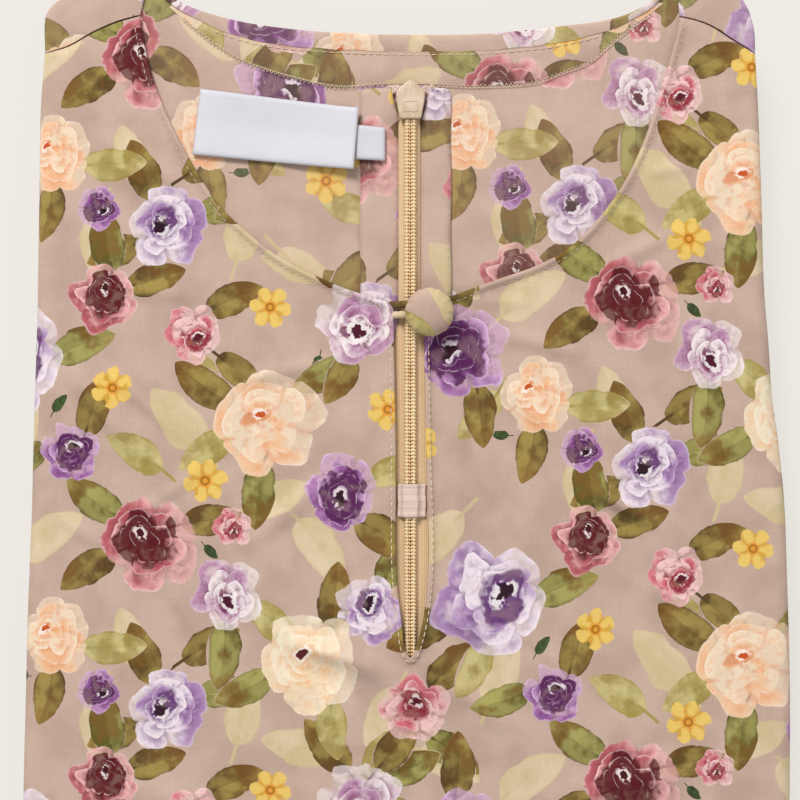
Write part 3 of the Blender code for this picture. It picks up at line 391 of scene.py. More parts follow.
def rosette(tree, x, y, kind, seed):
    """A flower's colour, and 1 inside its outline. x and y run to 1 at the rim."""
    base = tree.vector(x, y, seed * 23.0)
    u, v = bent(tree, x, y, base)
    wash = tree.noise(base, 2.1, 2.0)
    grain = tree.noise(base, 8.0, 2.0)
    heart_x = tree.math("COSINE", seed * 31.0) * 0.24
    heart_y = tree.math("SINE", seed * 31.0) * 0.24
    light, middle = tree.by_kind(kind, LIGHTS), tree.by_kind(kind, MIDS)
    deep, heart = tree.by_kind(kind, DEEPS), tree.by_kind(kind, HEARTS)
    white = tree.mix(0.75, light, linear((254, 249, 246)))
    dx, dy = u - heart_x, v - heart_y
    from_heart = tree.math("SQRT", dx * dx + dy * dy)
    uneven = (wash - 0.5) * 2.2 + (grain - 0.5) * 0.5
    core = tree.step(from_heart / tree.by_kind(kind, CORES) + uneven, 1.05, 0.72) * 0.97
    rims = tree.by_kind(kind, RIMS)
    colour, inside = light, None
    for number, (radius, half, turn) in enumerate(RINGS):
        dx = u - heart_x * (1.0 - radius)
        dy = v - heart_y * (1.0 - radius)
        angle = tree.math("ARCTAN2", dy, dx)
        lobe = abs(tree.math("COSINE", angle * half + (turn + number) + seed * 6.3))
        edge = (lobe**LOBE_ROUND) * (LOBE_DEPTH * radius) + LOBE_FOOT * radius + (grain - 0.5) * 0.07
        away = tree.math("SQRT", dx * dx + dy * dy) / edge
        mask = tree.step(away, 1.0, 0.97)
        side = tree.math("COSINE", angle * (1.0 + number % 2) + seed * 17.0 + 2.1 * number)
        tone = tree.step(side * 0.8 + (wash - 0.5) * 3.0, -0.25, 0.95)
        washed = tree.mix(tone * 0.85, light, middle)
        pool = tree.step(away, 1.0, 0.60) * tree.step(wash + grain, 0.82, 1.2)
        washed = tree.mix(pool * 0.7, washed, deep)
        fold = tree.step(lobe + (wash - 0.5) * 0.7, 0.30, 0.0) * tree.step(away, 0.4, 0.8)
        washed = tree.mix(fold * 0.45, washed, deep)
        if number:
            washed = tree.mix(core, washed, deep)
        rim = tree.step(away, 0.92, 0.98) * tree.step(wash * 0.5 + grain * 0.5, 0.45, 0.53)
        washed = tree.mix(rim * rims, washed, white)
        colour = tree.mix(mask, colour, washed) if number else washed
        if number == 0:
            inside = mask * (tree.step(wash + side * 0.12, 0.40, 0.56) * 0.42 + 0.54)
        elif number == 1:
            inside = tree.math("MAXIMUM", inside, mask * (tree.step(wash, 0.34, 0.48) * 0.2 + 0.8))
    away = from_heart / tree.by_kind(kind, HEART_SIZES) + (grain - 0.5) * 1.6
    halo = tree.step(away, 1.8, 1.3) * tree.step(wash + grain, 0.90, 1.0)
    colour = tree.mix(halo * 0.8, colour, white)
    colour = tree.mix(tree.step(away, 1.0, 0.8), colour, heart)
    return colour, inside


def covered(tree, x, y, code):
    """About 1 inside a flower's outline, and cheap: it only picks which of two flowers is on top."""
    seed = code - tree.math("FLOOR", code)
    u, v = bent(tree, x, y, tree.vector(x, y, seed * 23.0))
    lobe = abs(tree.math("COSINE", tree.math("ARCTAN2", v, u) * RINGS[0][1] + seed * 6.3))
    edge = (lobe**LOBE_ROUND) * LOBE_DEPTH + LOBE_FOOT
    return tree.math("LESS_THAN", tree.math("SQRT", u * u + v * v), edge)


# %% Leaves and daisies
LEAF_LIGHTS = ((158, 136, 68), (164, 158, 88), (204, 190, 132), (58, 86, 36), (226, 208, 170))
LEAF_DARKS = ((70, 52, 4), (76, 72, 10), (160, 146, 76), (24, 46, 14), (208, 192, 140))
LEAF_BROWN = linear((134, 88, 26))


def blade_of(tree, x, y, seed, wash):
    """How far across a leaf a place is, and half the leaf's width there. x runs from -0.5 to 0.5."""
    along = tree.math("MAXIMUM", tree.math("MINIMUM", x + 0.5, 1.0), 0.0)
    across = y - (seed - 0.5) * 0.45 * (x * x - 0.25)
    arch = along**0.5 * (1.0 - along) ** 0.72
    return across, arch * (wash * 2.2 + 0.60)


def on_stem(tree, x, across):
    return tree.step(abs(across), 0.030, 0.018) * tree.step(x, -0.80, -0.76) * tree.step(x, -0.3, -0.4)


def on_leaf(tree, x, y, code):
    """1 on a leaf or its stem, without the leaf's uneven edge: it only picks which of two is on top."""
    seed = code - tree.math("FLOOR", code)
    across, half = blade_of(tree, x, y, seed, 0.0)
    return tree.math("GREATER_THAN", half - abs(across) + on_stem(tree, x, across), 0.0)


def leaf(tree, x, y, code):
    """A leaf's colour, and 1 inside it and its stem."""
    kind = tree.math("FLOOR", code)
    seed = code - kind
    wash = tree.noise(tree.vector(x, y, seed * 19.0), 3.2, 3.0)
    across, half = blade_of(tree, x, y, seed, (wash - 0.5) * 0.20)
    blade = tree.step(abs(across), half, half - 0.02)
    stem = on_stem(tree, x, across)
    light, dark = tree.by_kind(kind, LEAF_LIGHTS), tree.by_kind(kind, LEAF_DARKS)
    halves = tree.step(across, -0.02, 0.02) * 0.25
    tone = tree.step(wash + (seed - 0.5) * 0.12, 0.38, 0.64) * 0.75 + halves
    out = abs(across) / (half + 0.001)
    edge = tree.step(out, 0.74, 0.97) * 0.40 + tree.step(out, 0.90, 0.97) * 0.35
    colour = tree.mix(tree.math("MINIMUM", tone + edge, 1.0), light, dark)
    brown = tree.step(x * 0.5 + wash * 1.6, 0.72, 1.05) * tree.step(kind, 3.0, 1.0)
    colour = tree.mix(brown * 0.5, colour, LEAF_BROWN)
    rib = tree.step(abs(across), 0.014, 0.004) * tree.step(x, 0.42, 0.1)
    colour = tree.mix(rib * 0.3, colour, dark)
    colour = tree.mix(stem * 0.9, colour, dark)
    return colour, tree.math("MAXIMUM", blade, stem)


DAISY_LIGHT, DAISY_DARK = linear((232, 196, 104)), linear((208, 156, 52))
DAISY_HEART, DAISY_RING = linear((150, 100, 22)), linear((226, 142, 28))


def daisy(tree, data):
    x, y, seed = tree.split(data)
    grain = tree.noise(tree.vector(x, y, seed * 13.0), 2.6, 2.0)
    away = tree.math("SQRT", x * x + y * y)
    angle = tree.math("ARCTAN2", y, x)
    lobe = abs(tree.math("COSINE", angle * 3.0 + seed * 6.3 + (grain - 0.5)))
    edge = (lobe**0.6) * 0.35 + 0.57 + (grain - 0.5) * 0.35
    inside = tree.step(away, edge, edge - 0.05)
    tone = tree.step(lobe + (grain - 0.5) * 1.8, 0.8, 0.2) * 0.85
    colour = tree.mix(tone, DAISY_LIGHT, DAISY_DARK)
    colour = tree.mix(tree.step(away, 0.36, 0.20) * 0.8, colour, DAISY_RING)
    colour = tree.mix(tree.step(abs(away - 0.15), 0.06, 0.03) * 0.8, colour, DAISY_HEART)
    return colour, inside


# %% [markdown]
# The cloth itself is a plain weave of slightly uneven threads. Two noises, each stretched along one
# direction of the weave, make the threads and their slubs, and the same numbers tint the colour a
# little and raise the surface through a bump.

# %% Printed cloth
GROUND, GROUND_WARM = linear((200, 173, 157)), linear((179, 151, 136))
THREADS, SLUBS = 420.0, 14.0  # across and along the threads, for each 100 mm
OVER = {"ghost": 0.7, "leaf": 0.95, "daisy": 0.96, "bloom": 0.98}  # how much each covers what is below


def uppermost(tree, names, test):
    """The place, in its motif's frame, of the uppermost layer whose motif is there."""
    layers = [tree.split(tree.attribute(name)) for name in names]
    chosen = layers[-1]
    for layer in layers[-2::-1]:
        on_top = test(tree, *layer)
        chosen = [tree.blend(on_top, below, above) for below, above in zip(chosen, layer)]
    return chosen


def printed_cloth(name, fade):
    """The print on its weave. fade is how far it pales to the ground, as it does on the inside."""
    tree = Tree(name)
    cloth = tree.node("ShaderNodeUVMap", {"uv_map": "cloth"}, {})
    u, v, _ = tree.split(cloth)
    blotch = tree.noise(cloth, 6.0, 2.0)
    colour = tree.mix(tree.step(blotch, 0.35, 0.65) * 0.6, GROUND, GROUND_WARM)
    pale, shape = leaf(tree, *tree.split(tree.attribute("ghost_a")))
    colour = tree.mix(shape * OVER["ghost"], colour, pale)
    tint, shape = leaf(tree, *uppermost(tree, ("leaf_a", "leaf_b", "leaf_c"), on_leaf))
    colour = tree.mix(shape * OVER["leaf"], colour, tint)
    tint, shape = daisy(tree, tree.attribute("daisy_a"))
    colour = tree.mix(shape * OVER["daisy"], colour, tint)
    x, y, code = uppermost(tree, ("bloom_a", "bloom_b"), covered)
    kind = tree.math("FLOOR", code)
    tint, shape = rosette(tree, x, y, kind, code - kind)
    colour = tree.mix(shape * OVER["bloom"], colour, tint)
    warp = tree.noise(tree.vector(u * THREADS, v * SLUBS), 1.0, 1.0)
    weft = tree.noise(tree.vector(u * SLUBS, v * THREADS), 1.0, 1.0)
    threads = warp + weft
    shade = tree.step(threads, 0.62, 1.38) * 0.10 + 0.91
    colour = tree.node("ShaderNodeVectorMath", {"operation": "SCALE"}, {0: colour, 3: shade})
    if fade:
        colour = tree.mix(fade, colour, GROUND)
    dull = {"Specular_IOR_Level": 0.12, "Sheen_Weight": 0.08, "Sheen_Roughness": 0.5}
    tree.finish(colour, threads, 0.22, 0.0002, 0.88, **dull)
    print(name, len(tree.nodes), "nodes")
    return tree.material


# %% [markdown]
# The zip's tape is a ribbed weave along its length, the slider and coils are a slightly glossy plastic,
# and the label is a close satin. Each plain material has the grain of its own kind, a little dirt or wear
# in its colour, and its own roughness. The ribbed weaves also carry painted shade in their ribs' valleys.

# %% Plain materials
def ribbed(name, colour, dark, ribs, rough, turn=False):
    """A ribbed weave, with painted shade in the valleys between its ribs and picks. ribs is how many ribs
    there are in a metre.
    """
    tree = Tree(name)
    place = tree.place()
    x, y, _ = tree.split(place)
    if turn:
        x, y = y, x
    ridge = tree.math("SINE", x * (2.0 * math.pi * ribs)) * 0.5 + 0.5
    pick = tree.math("SINE", y * (2.0 * math.pi * ribs * 1.3) + ridge * 2.0) * 0.5 + 0.5
    wash = tree.noise(place, 90.0, 3.0)
    fine = tree.noise(place, 1400.0, 2.0)
    # Painted shade: the colour darkens in the ribs' valleys and between the picks, where the bump is low,
    # on top of random tone.
    tone = ridge * 0.45 + pick * 0.2 + wash * 0.35 + (fine - 0.5) * 0.3
    shade = tree.tinted(tone, 0.15, 0.85, dark, colour)
    height = ridge * 0.7 + pick * 0.2 + fine * 0.2
    return tree.finish(shade, height, 0.4, 0.0002, rough, Sheen_Weight=0.2)


def plastic(name, colour, dark, rough, coat):
    tree = Tree(name)
    place = tree.place()
    wash = tree.noise(place, 260.0, 3.0)
    fine = tree.noise(place, 2600.0, 2.0)
    shade = tree.tinted(wash + (fine - 0.5) * 0.4, 0.36, 0.66, dark, colour)
    worn = (wash - 0.5) * 0.25 + rough
    return tree.finish(shade, fine, 0.15, 0.0001, worn, Coat_Weight=coat, Coat_Roughness=0.25)


def satin(name, colour, dark, lines, rough):
    """A close satin with fine threads along its length, from the label's own flat places."""
    tree = Tree(name)
    cloth = tree.node("ShaderNodeUVMap", {"uv_map": "cloth"}, {})
    u, v, _ = tree.split(cloth)
    threads = tree.noise(tree.vector(u * 12.0, v * lines), 1.0, 2.0)
    cross = tree.noise(tree.vector(u * lines * 1.4, v * 40.0), 1.0, 1.0)
    wash = tree.noise(cloth, 4.0, 3.0)
    shade = tree.tinted(threads * 0.5 + cross * 0.25 + wash * 0.25, 0.25, 0.70, dark, colour)
    return tree.finish(shade, threads + cross, 0.2, 0.0001, rough, Sheen_Weight=0.15)


def thread(name, colour, dark):
    tree = Tree(name)
    twist = tree.noise(tree.place(), 2400.0, 2.0)
    return tree.finish(tree.tinted(twist, 0.35, 0.65, dark, colour), twist, 0.3, 0.0001, 0.7)


# %% [markdown]
# Every edge of the garment is a smooth line through a few points. A piece is filled between its edges
# with small triangles, so that creases and the soft dome of the stack can bend it, and a closed shell
# gives it the thickness of cloth.

# %% Lines
def smooth(share):
    share = np.clip(share, 0.0, 1.0)
    return share * share * (3.0 - 2.0 * share)


def dome(x, y):
    """The stack is thickest in its middle: what a height is multiplied by at a place."""
    return 1.0 - 0.10 * smooth((np.abs(y) - 70.0) / 110.0) - 0.05 * (x / 124.0) ** 2


def through(points, step):
    """A smooth line through these points, its own points about a step apart."""
    given = np.array(points, float)
    chain = np.vstack([2.0 * given[0] - given[1], given, 2.0 * given[-1] - given[-2]])
    line = []
    for a, b, c, d in zip(chain, chain[1:], chain[2:], chain[3:]):
        lengths = [np.linalg.norm(q - p) ** 0.5 for p, q in ((a, b), (b, c), (c, d))]
        k = np.cumsum([0.0] + lengths)
        t = np.linspace(k[1], k[2], max(1, round(np.linalg.norm(c - b) / step)), endpoint=False)[:, None]
        ab, bc = between(a, b, k[0], k[1], t), between(b, c, k[1], k[2], t)
        cd = between(c, d, k[2], k[3], t)
        line.append(between(between(ab, bc, k[0], k[2], t), between(bc, cd, k[1], k[3], t), k[1], k[2], t))
    return np.vstack(line + [given[-1:]])


def between(a, b, start, end, t):
    return a + (b - a) * (t - start) / (end - start)


def inward(line, closed=False):
    """Unit normals to the left of a line."""
    along = np.roll(line, -1, 0) - np.roll(line, 1, 0) if closed else np.gradient(line, axis=0)
    along = along / np.linalg.norm(along, axis=1, keepdims=True)
    return np.column_stack([-along[:, 1], along[:, 0]])


def moved_in(line, distance):
    return line + inward(line) * np.reshape(distance, (-1, 1))


def reach(points, line):
    """The distance of each point from a line."""
    best = np.full(len(points), np.inf)
    for start, end in zip(line[:-1], line[1:]):
        along = end - start
        share = np.clip((points - start) @ along / max(along @ along, 1e-12), 0.0, 1.0)
        best = np.minimum(best, np.linalg.norm(points - start - share[:, None] * along, axis=1))
    return best


def holds(outline, points):
    """Whether a closed outline holds each point: it does where an odd number of its lines are crossed."""
    x, y = points[:, 0], points[:, 1]
    found = np.zeros(len(points), bool)
    for (ax, ay), (bx, by) in zip(outline, np.roll(outline, -1, 0)):
        if ay != by:
            found ^= ((ay > y) != (by > y)) & (x < ax + (bx - ax) * (y - ay) / (by - ay))
    return found


def lengths(line):
    return np.r_[0.0, np.cumsum(np.linalg.norm(np.diff(line, axis=0), axis=1))]


def fill(outline, lines, spacing):
    """Points and triangles inside an outline, with edges along these lines. The outline's come first."""
    low, high = outline.min(0), outline.max(0)
    rows = np.arange(low[1], high[1], spacing * math.sqrt(0.75))
    columns = np.arange(low[0], high[0], spacing)
    lattice = np.array([(x + 0.5 * spacing * (j % 2), y) for j, y in enumerate(rows) for x in columns])
    lattice = lattice[holds(outline, lattice)]
    for wall in [np.vstack([outline, outline[:1]])] + list(lines):
        lattice = lattice[reach(lattice, wall) > 0.55 * spacing]
    points = [outline] + list(lines) + [lattice]
    edges = [(i, (i + 1) % len(outline)) for i in range(len(outline))]
    first = len(outline)
    for line in lines:
        edges += [(first + i, first + i + 1) for i in range(len(line) - 1)]
        first += len(line)
    points = np.vstack(points)
    made = delaunay_2d_cdt(points.tolist(), edges, [list(range(len(outline)))], 1, 1e-4)
    where = {given: made_at for made_at, found in enumerate(made[3]) for given in found}
    rim = [where[i] for i in range(len(outline))]
    return np.array(made[0]), [tuple(f) for f in made[2]], rim


# %% Solids from sheets and rings
def grid_faces(wide, rows, flipped=False):
    """Faces between open rows of points."""
    starts = [j * wide + i for j in range(rows - 1) for i in range(wide - 1)]
    if flipped:
        return [(a, a + wide, a + wide + 1, a + 1) for a in starts]
    return [(a, a + 1, a + wide + 1, a + wide) for a in starts]


def ring_faces(size, rings, flipped=False, ends=True):
    """Faces between closed rings of points, and across the first and the last."""
    faces = []
    for k in range(rings - 1):
        for i in range(size):
            a, b = k * size + i, k * size + (i + 1) % size
            faces.append((a, a + size, b + size, b) if flipped else (a, b, b + size, a + size))
    if ends:
        first, last = tuple(range(size)), tuple(range((rings - 1) * size, rings * size))
        faces += [first, last[::-1]] if flipped else [first[::-1], last]
    return faces


def add_mesh(name, points, faces, material, flat=None):
    """A piece from points in millimetres. flat is where they are in the flat cloth."""
    mesh = mesh_of(name, points, [], [tuple(map(int, f)) for f in faces])
    right_way_out(mesh)
    if flat is not None:
        lay_print(mesh, flat)
    mesh.shade_smooth()
    mesh.materials.append(material)
    made = linked(name, mesh)
    print(name, len(faces), "faces")
    return made


def mesh_of(name, points, edges, faces):
    mesh = bpy.data.meshes.new(name)
    mesh.from_pydata((MM * np.asarray(points)).tolist(), edges, faces)
    return mesh


def linked(name, data):
    """An object of these data, in the scene."""
    made = bpy.data.objects.new(name, data)
    bpy.context.scene.collection.objects.link(made)
    return made


def right_way_out(mesh):
    shape = bmesh.new()
    shape.from_mesh(mesh)
    bmesh.ops.recalc_face_normals(shape, faces=shape.faces)
    shape.to_mesh(mesh)
    shape.free()


def shell(outer, inner, faces):
    """A closed body between two copies of a patch of faces: points and faces."""
    count = len(outer)
    closed = list(faces) + [tuple(count + i for i in reversed(f)) for f in faces]
    used = {(f[i], f[(i + 1) % len(f)]) for f in faces for i in range(len(f))}
    closed += [(b, a, count + a, count + b) for a, b in used if (b, a) not in used]
    return np.vstack([outer, inner]), closed


def settled(points):
    """Heights scaled by the dome."""
    points = np.array(points, float)
    points[:, 2] *= dome(points[:, 0], points[:, 1])
    return points


def raised(flat, height):
    """Places in plan, at one height or one each, scaled by the dome."""
    return settled(np.column_stack([flat, np.broadcast_to(height, len(flat))]))


# %% [markdown]
# The tunic's front is one sheet. Its sides and its lower edge turn under the stack, so rows of points
# follow a rounded edge all the way round, and their places in the flat cloth run on past the edge so
# that the print isn't cut there. Soft ridges and troughs are the creases that folding left.

# %% Outline and edges of the front
SIDES = (  # y, left x, right x
    (140.6, -117.6, 113.4),
    (115.0, -119.5, 115.0),
    (93.0, -119.8, 115.8),
    (64.0, -120.1, 116.6),
    (47.0, -120.6, 117.9),
    (28.0, -121.2, 119.3),
    (15.0, -121.5, 121.2),
    (-7.0, -122.1, 123.2),
    (-24.0, -122.8, 123.9),
    (-53.0, -123.7, 124.8),
    (-101.0, -124.9, 125.1),
    (-150.0, -125.1, 124.9),
)
LOWER_FOLD = -167.0
CORNER = 17.0  # the round of the lower corners
LEFT_SEAM = ((-117.6, 140.9), (-109.5, 143.4), (-102.1, 147.6), (-94.0, 151.2), (-86.5, 153.2))
RIGHT_SEAM = ((113.4, 140.9), (106.3, 145.2), (98.9, 149.9), (93.0, 152.0), (88.7, 152.8))
LEFT_NECK = (
    (-86.5, 153.2), (-86.3, 150.4), (-82.1, 132.3), (-75.3, 115.8), (-61.1, 91.9), (-52.1, 82.9),
    (-40.5, 73.9), (-24.0, 65.8), (-11.8, 61.2), (-6.3, 59.6), (-4.6, 58.4),
)
RIGHT_NECK = (
    (88.7, 152.8), (88.2, 149.2), (82.4, 128.4), (75.3, 108.4), (67.9, 94.5), (54.7, 79.0),
    (44.0, 72.3), (26.0, 65.8), (14.4, 61.5), (8.0, 59.6), (6.0, 58.2),
)
SLIT = (  # down the left edge, round the point and up the right edge
    (-4.2, 57.0), (-4.0, 48.0), (-3.4, 12.0), (-3.1, -30.0), (-1.5, -43.5), (-0.6, -51.0),
    (1.1, -54.8), (3.0, -51.5), (4.4, -46.5), (6.0, -38.1), (7.2, -22.0), (6.9, -7.4), (6.3, 12.0),
    (5.7, 46.0), (5.6, 57.0),
)
ZIP_X = 1.3  # the zip's middle
ZIP_RISE, COIL_RISE = 1.3, 1.6  # how far the front is lifted over the seam allowances and the coils
TURN_RADIUS = 4.75  # of the turned edge along the sides
WIDER, NARROWER = 2.75, 3.25  # and how much more it is at the lower fold, and less at the shoulders
WRAP, UNWRAP = 150.0, 62.0  # degrees round the turned edge, and how many fewer at the shoulders


def side_outline(step):
    """Down the left side, along the lower fold and up the right side."""
    left = [(row[1], row[0]) for row in SIDES]
    right = [(row[2], row[0]) for row in reversed(SIDES)]
    cut, low = 0.3 * CORNER, LOWER_FOLD
    corners = [(left[-1][0] + cut, low + cut), (left[-1][0] + CORNER, low + 0.6), (-60.0, low)]
    corners += [(0.0, low + 0.4), (60.0, low), (right[0][0] - CORNER, low + 0.6)]
    corners += [(right[0][0] - cut, low + cut)]
    return through(left + corners + right, step)


def lower_end(y):
    """0 along the sides to 1 at the lower fold."""
    return smooth((-y - 128.0) / 34.0)


def round_at(y):
    """Radius of the front's turn."""
    return TURN_RADIUS + WIDER * lower_end(y) - NARROWER * smooth((y - 105.0) / 34.0)


def wrap_at(y):
    """How far round its turn the front goes."""
    return np.radians(WRAP - UNWRAP * smooth((y - 100.0) / 25.0))


# %% Creases
CREASES = (  # x0, y0, x1, y1, height, half width
    (-104.0, 42.0, -70.0, 12.0, 1.62, 3.0),
    (57.0, 1.0, 79.0, -13.0, 1.5, 2.9),
    (-42.0, -50.0, 4.0, -62.0, 1.25, 3.0),
    (-20.0, -60.0, -34.0, -82.0, 1.12, 3.4),
    (-92.0, 112.0, -70.0, 92.0, 1.25, 3.4),
    (-84.0, 82.0, -70.0, 58.0, 1.25, 3.6),
    (12.0, -38.0, 22.0, -52.0, 1.25, 2.9),
    (74.0, 100.0, 96.0, 104.0, 1.0, 3.2),
    (20.0, 60.0, 44.0, 58.0, 1.0, 3.2),
    (-118.0, -6.0, -96.0, -22.0, 1.12, 3.6),
    (-45.0, -47.0, 2.0, -66.0, 2.7, 5.5),
    (-112.0, 42.0, -86.0, 8.0, 2.9, 6.0),
    (-98.0, 118.0, -76.0, 76.0, 2.5, 6.0),
    (56.0, 2.0, 82.0, -15.0, 2.7, 5.0),
    (14.0, -34.0, 27.0, -56.0, 2.3, 4.5),
    (-95.0, -96.0, -38.0, -118.0, 1.8, 9.0),
    (40.0, -104.0, 98.0, -90.0, 1.8, 9.0),
    (84.0, 92.0, 102.0, 52.0, 2.1, 6.0),
    (-50.0, -54.0, -2.0, -74.0, -0.72, 4.0),
    (-104.0, 50.0, -80.0, 17.0, -0.65, 3.5),
    (24.0, 50.0, 62.0, 40.0, 1.3, 4.0),
    (22.0, 42.0, 50.0, 12.0, 1.3, 4.0),
    (-14.0, 44.0, -62.0, 34.0, 1.3, 4.0),
    (-16.0, 12.0, -58.0, -22.0, 1.3, 5.0),
    (20.0, 10.0, 46.0, -30.0, 1.2, 4.0),
    (-84.0, -22.0, -60.0, -60.0, 1.5, 5.0),
    (70.0, -30.0, 108.0, -44.0, 1.5, 5.0),
    (58.0, 66.0, 92.0, 84.0, 1.3, 4.0),
    (-100.0, 64.0, -64.0, 60.0, 1.2, 4.0),
    (10.0, -62.0, 40.0, -84.0, 1.7, 5.0),
    (-24.0, -70.0, -8.0, -110.0, 1.3, 6.0),
    (60.0, -60.0, 84.0, -104.0, 1.1, 7.0),
    (-112.0, -30.0, -92.0, -66.0, 1.5, 6.0),
    (-70.0, -130.0, 66.0, -136.0, 1.3, 10.0),
    (46.0, 30.0, 74.0, 22.0, -0.59, 2.6),
    (60.0, -4.0, 86.0, -20.0, -0.65, 2.4),
    (-106.0, 96.0, -84.0, 66.0, -0.59, 2.6),
    (12.0, -66.0, 46.0, -88.0, -0.59, 2.6),
    (-40.0, -84.0, 10.0, -92.0, -0.52, 3.0),
    (30.0, -40.0, 54.0, -64.0, 1.0, 3.2),
    (-60.0, 12.0, -92.0, -12.0, 1.0, 3.4),
)


def ridges(points, rows):
    """Height of soft creases at each point: each dies out at its ends."""
    total = np.zeros(len(points))
    for x0, y0, x1, y1, height, width in rows:
        along = np.array((x1 - x0, y1 - y0))
        offset = points - (x0, y0)
        share = offset @ along / (along @ along)
        bow = 0.12 * np.linalg.norm(along) * (share * (1.0 - share))
        away = np.abs((offset[:, 0] * along[1] - offset[:, 1] * along[0]) / np.linalg.norm(along) + bow)
        total += height * smooth(np.minimum(share, 1.0 - share) / 0.4) * smooth(1.0 - away / width)
    return total


def ripple(points):
    """The slight unevenness of cloth that isn't ironed flat."""
    x, y = points[:, 0], points[:, 1]
    wide = np.sin(0.071 * x + 0.043 * y + 1.0) * np.sin(0.058 * y - 0.027 * x)
    fine = np.sin(0.19 * x - 0.11 * y + 2.0) * np.sin(0.16 * y + 0.06 * x + 0.5)
    return 0.28 * wide + 0.11 * fine


def lift(points):
    """How far the front rises over the seam allowances, and over the coils at the slit's point."""
    x, y = points[:, 0], points[:, 1]
    across = smooth((21.0 - np.abs(x - 0.2)) / 5.5)
    over_coil = smooth((8.6 - np.abs(x - ZIP_X)) / 5.4) * smooth((-37.0 - y) / 7.0)
    return smooth((y + 76.0) / 12.0) * (ZIP_RISE * across + COIL_RISE * over_coil)


# %% Front panel
FRONT_WALL = 0.7
FRONT_STEP = 1.9  # between points
NECK_ROUND = 0.6  # the rounding of the folded edge round the neck and the slit
LIP = 0.95  # how far it stands up, because the cloth is double there
LIP_WIDTH, LIP_SLOPE = 1.25, 0.95  # its flat top, and the slope down to the stitches
LIP_ROWS = (0.2, 0.5, 1.1, 1.6, 2.2)  # how far from the edge rows of points follow it
TURN_STEPS = 10  # rows of points round the turned edge
SEAM_GAP = 0.65  # how far the front stops short of the shoulder seam


def rounded_off(near, radius):
    """How far a surface drops towards a rounded edge."""
    near = np.minimum(near, radius)
    return radius - np.sqrt(np.maximum(radius**2 - (radius - near) ** 2, 0.0))


def neck_opening():
    """The neck's edge and the slit's, from the right shoulder to the left one."""
    left, right = through(LEFT_NECK, FRONT_STEP), through(RIGHT_NECK, FRONT_STEP)
    return np.vstack([right, through(SLIT, FRONT_STEP)[::-1], left[::-1]])


def lip_height(points, opening):
    """How far the folded edge stands up at each point."""
    return LIP * smooth((LIP_WIDTH + LIP_SLOPE - reach(points, opening)) / LIP_SLOPE)


def front_panel(material):
    outline = side_outline(FRONT_STEP)
    normals = inward(outline)
    rim = outline + normals * round_at(outline[:, 1])[:, None]
    left_seam = moved_in(through(LEFT_SEAM, FRONT_STEP), -SEAM_GAP)
    right_seam = moved_in(through(RIGHT_SEAM, FRONT_STEP), SEAM_GAP)
    opening = neck_opening()
    opening[0], opening[-1] = right_seam[-1], left_seam[-1]
    edge = np.vstack([rim, right_seam[1:-1], opening, left_seam[-2:0:-1]])
    lines = [moved_in(opening, distance)[2:-2] for distance in LIP_ROWS]
    flat, faces, row = fill(edge, lines, FRONT_STEP)
    row = row[: len(rim)]
    level = HEIGHT + lift(flat) + drape(flat, outline)
    drop = rounded_off(reach(flat, opening), NECK_ROUND)
    outer = raised(flat, level + lip_height(flat, opening) - drop)
    inner = raised(flat, level + drop - FRONT_WALL)
    cloth = [flat]
    radius = round_at(outline[:, 1])
    for share in np.linspace(0.0, 1.0, TURN_STEPS + 1)[1:]:
        angle = share * wrap_at(outline[:, 1])
        below = np.arange(len(outer), len(outer) + len(outline))
        outer = np.vstack([outer, turned(outline, normals, 0.0, angle)])
        inner = np.vstack([inner, turned(outline, normals, FRONT_WALL, angle)])
        cloth.append(rim - normals * (radius * angle)[:, None])
        faces += list(zip(row[:-1], below[:-1], below[1:], row[1:]))
        row = below
    points, closed = shell(outer, inner, faces)
    return add_mesh("tunic_front", points, closed, material, np.vstack(cloth * 2))


def drape(points, outline):
    """Creases and unevenness, which die out towards the turned edge."""
    near = smooth(reach(points, outline) / 14.0)
    return (ridges(points, CREASES) + ripple(points)) * near


def front_level(flat):
    """The height of the front's upper side at places in plan."""
    level = HEIGHT + lift(flat) + drape(flat, side_outline(FRONT_STEP))
    return level + lip_height(flat, neck_opening())


def turned(outline, normals, depth, angle):
    """The turned edge's points at an angle round its turn."""
    radius = round_at(outline[:, 1])
    from_edge = radius - (radius - depth) * np.sin(angle)
    places = outline + normals * from_edge[:, None]
    wave = 0.25 * np.sin(0.11 * lengths(outline)) * np.sin(angle)
    return raised(places, HEIGHT - radius + (radius - depth) * np.cos(angle) + wave)


# %% [markdown]
# Through the neck the inside of the back shows. Its two halves meet at the zip. At the back neck the
# outer cloth is rolled over to the inside, and at the shoulders the back comes forward to seams that lie
# on the front. So each half is two pieces: the flat inside, and the rolled edge with its shoulder.

# %% Back neck and shoulders
RIGHT_SHOULDER = ((113.4, 140.6), (113.0, 149.0), (109.6, 158.0), (102.0, 163.2), (90.5, 167.0))
LEFT_SHOULDER = ((-117.6, 140.6), (-117.0, 154.0), (-111.5, 159.2), (-100.0, 163.0), (-87.0, 166.4))
RIGHT_BACK_NECK = (
    (90.5, 167.0), (79.0, 157.3), (68.9, 152.5), (49.5, 149.4), (23.7, 146.9), (ZIP_X, 146.6),
)
LEFT_BACK_NECK = (
    (-87.0, 166.4), (-73.0, 157.2), (-56.9, 151.7), (-34.4, 148.2), (-12.0, 146.9), (ZIP_X, 146.6),
)
FOLD_ROUND = 1.25  # the rounding of the rolled edge
ROLL_ROWS = (0.2, 0.55, 1.0)  # how far from it rows of points follow it
BACK_WALL = 0.8
BACK_STEP = 2.2
UNDER_ROLL, UNDER_FRONT = 0.7, 14.0  # how far the flat inside runs on under the roll and the front
INSIDE_LOW, INSIDE_HALF = -66.0, 21.0  # below the neck only a strip beside the zip shows, down to here
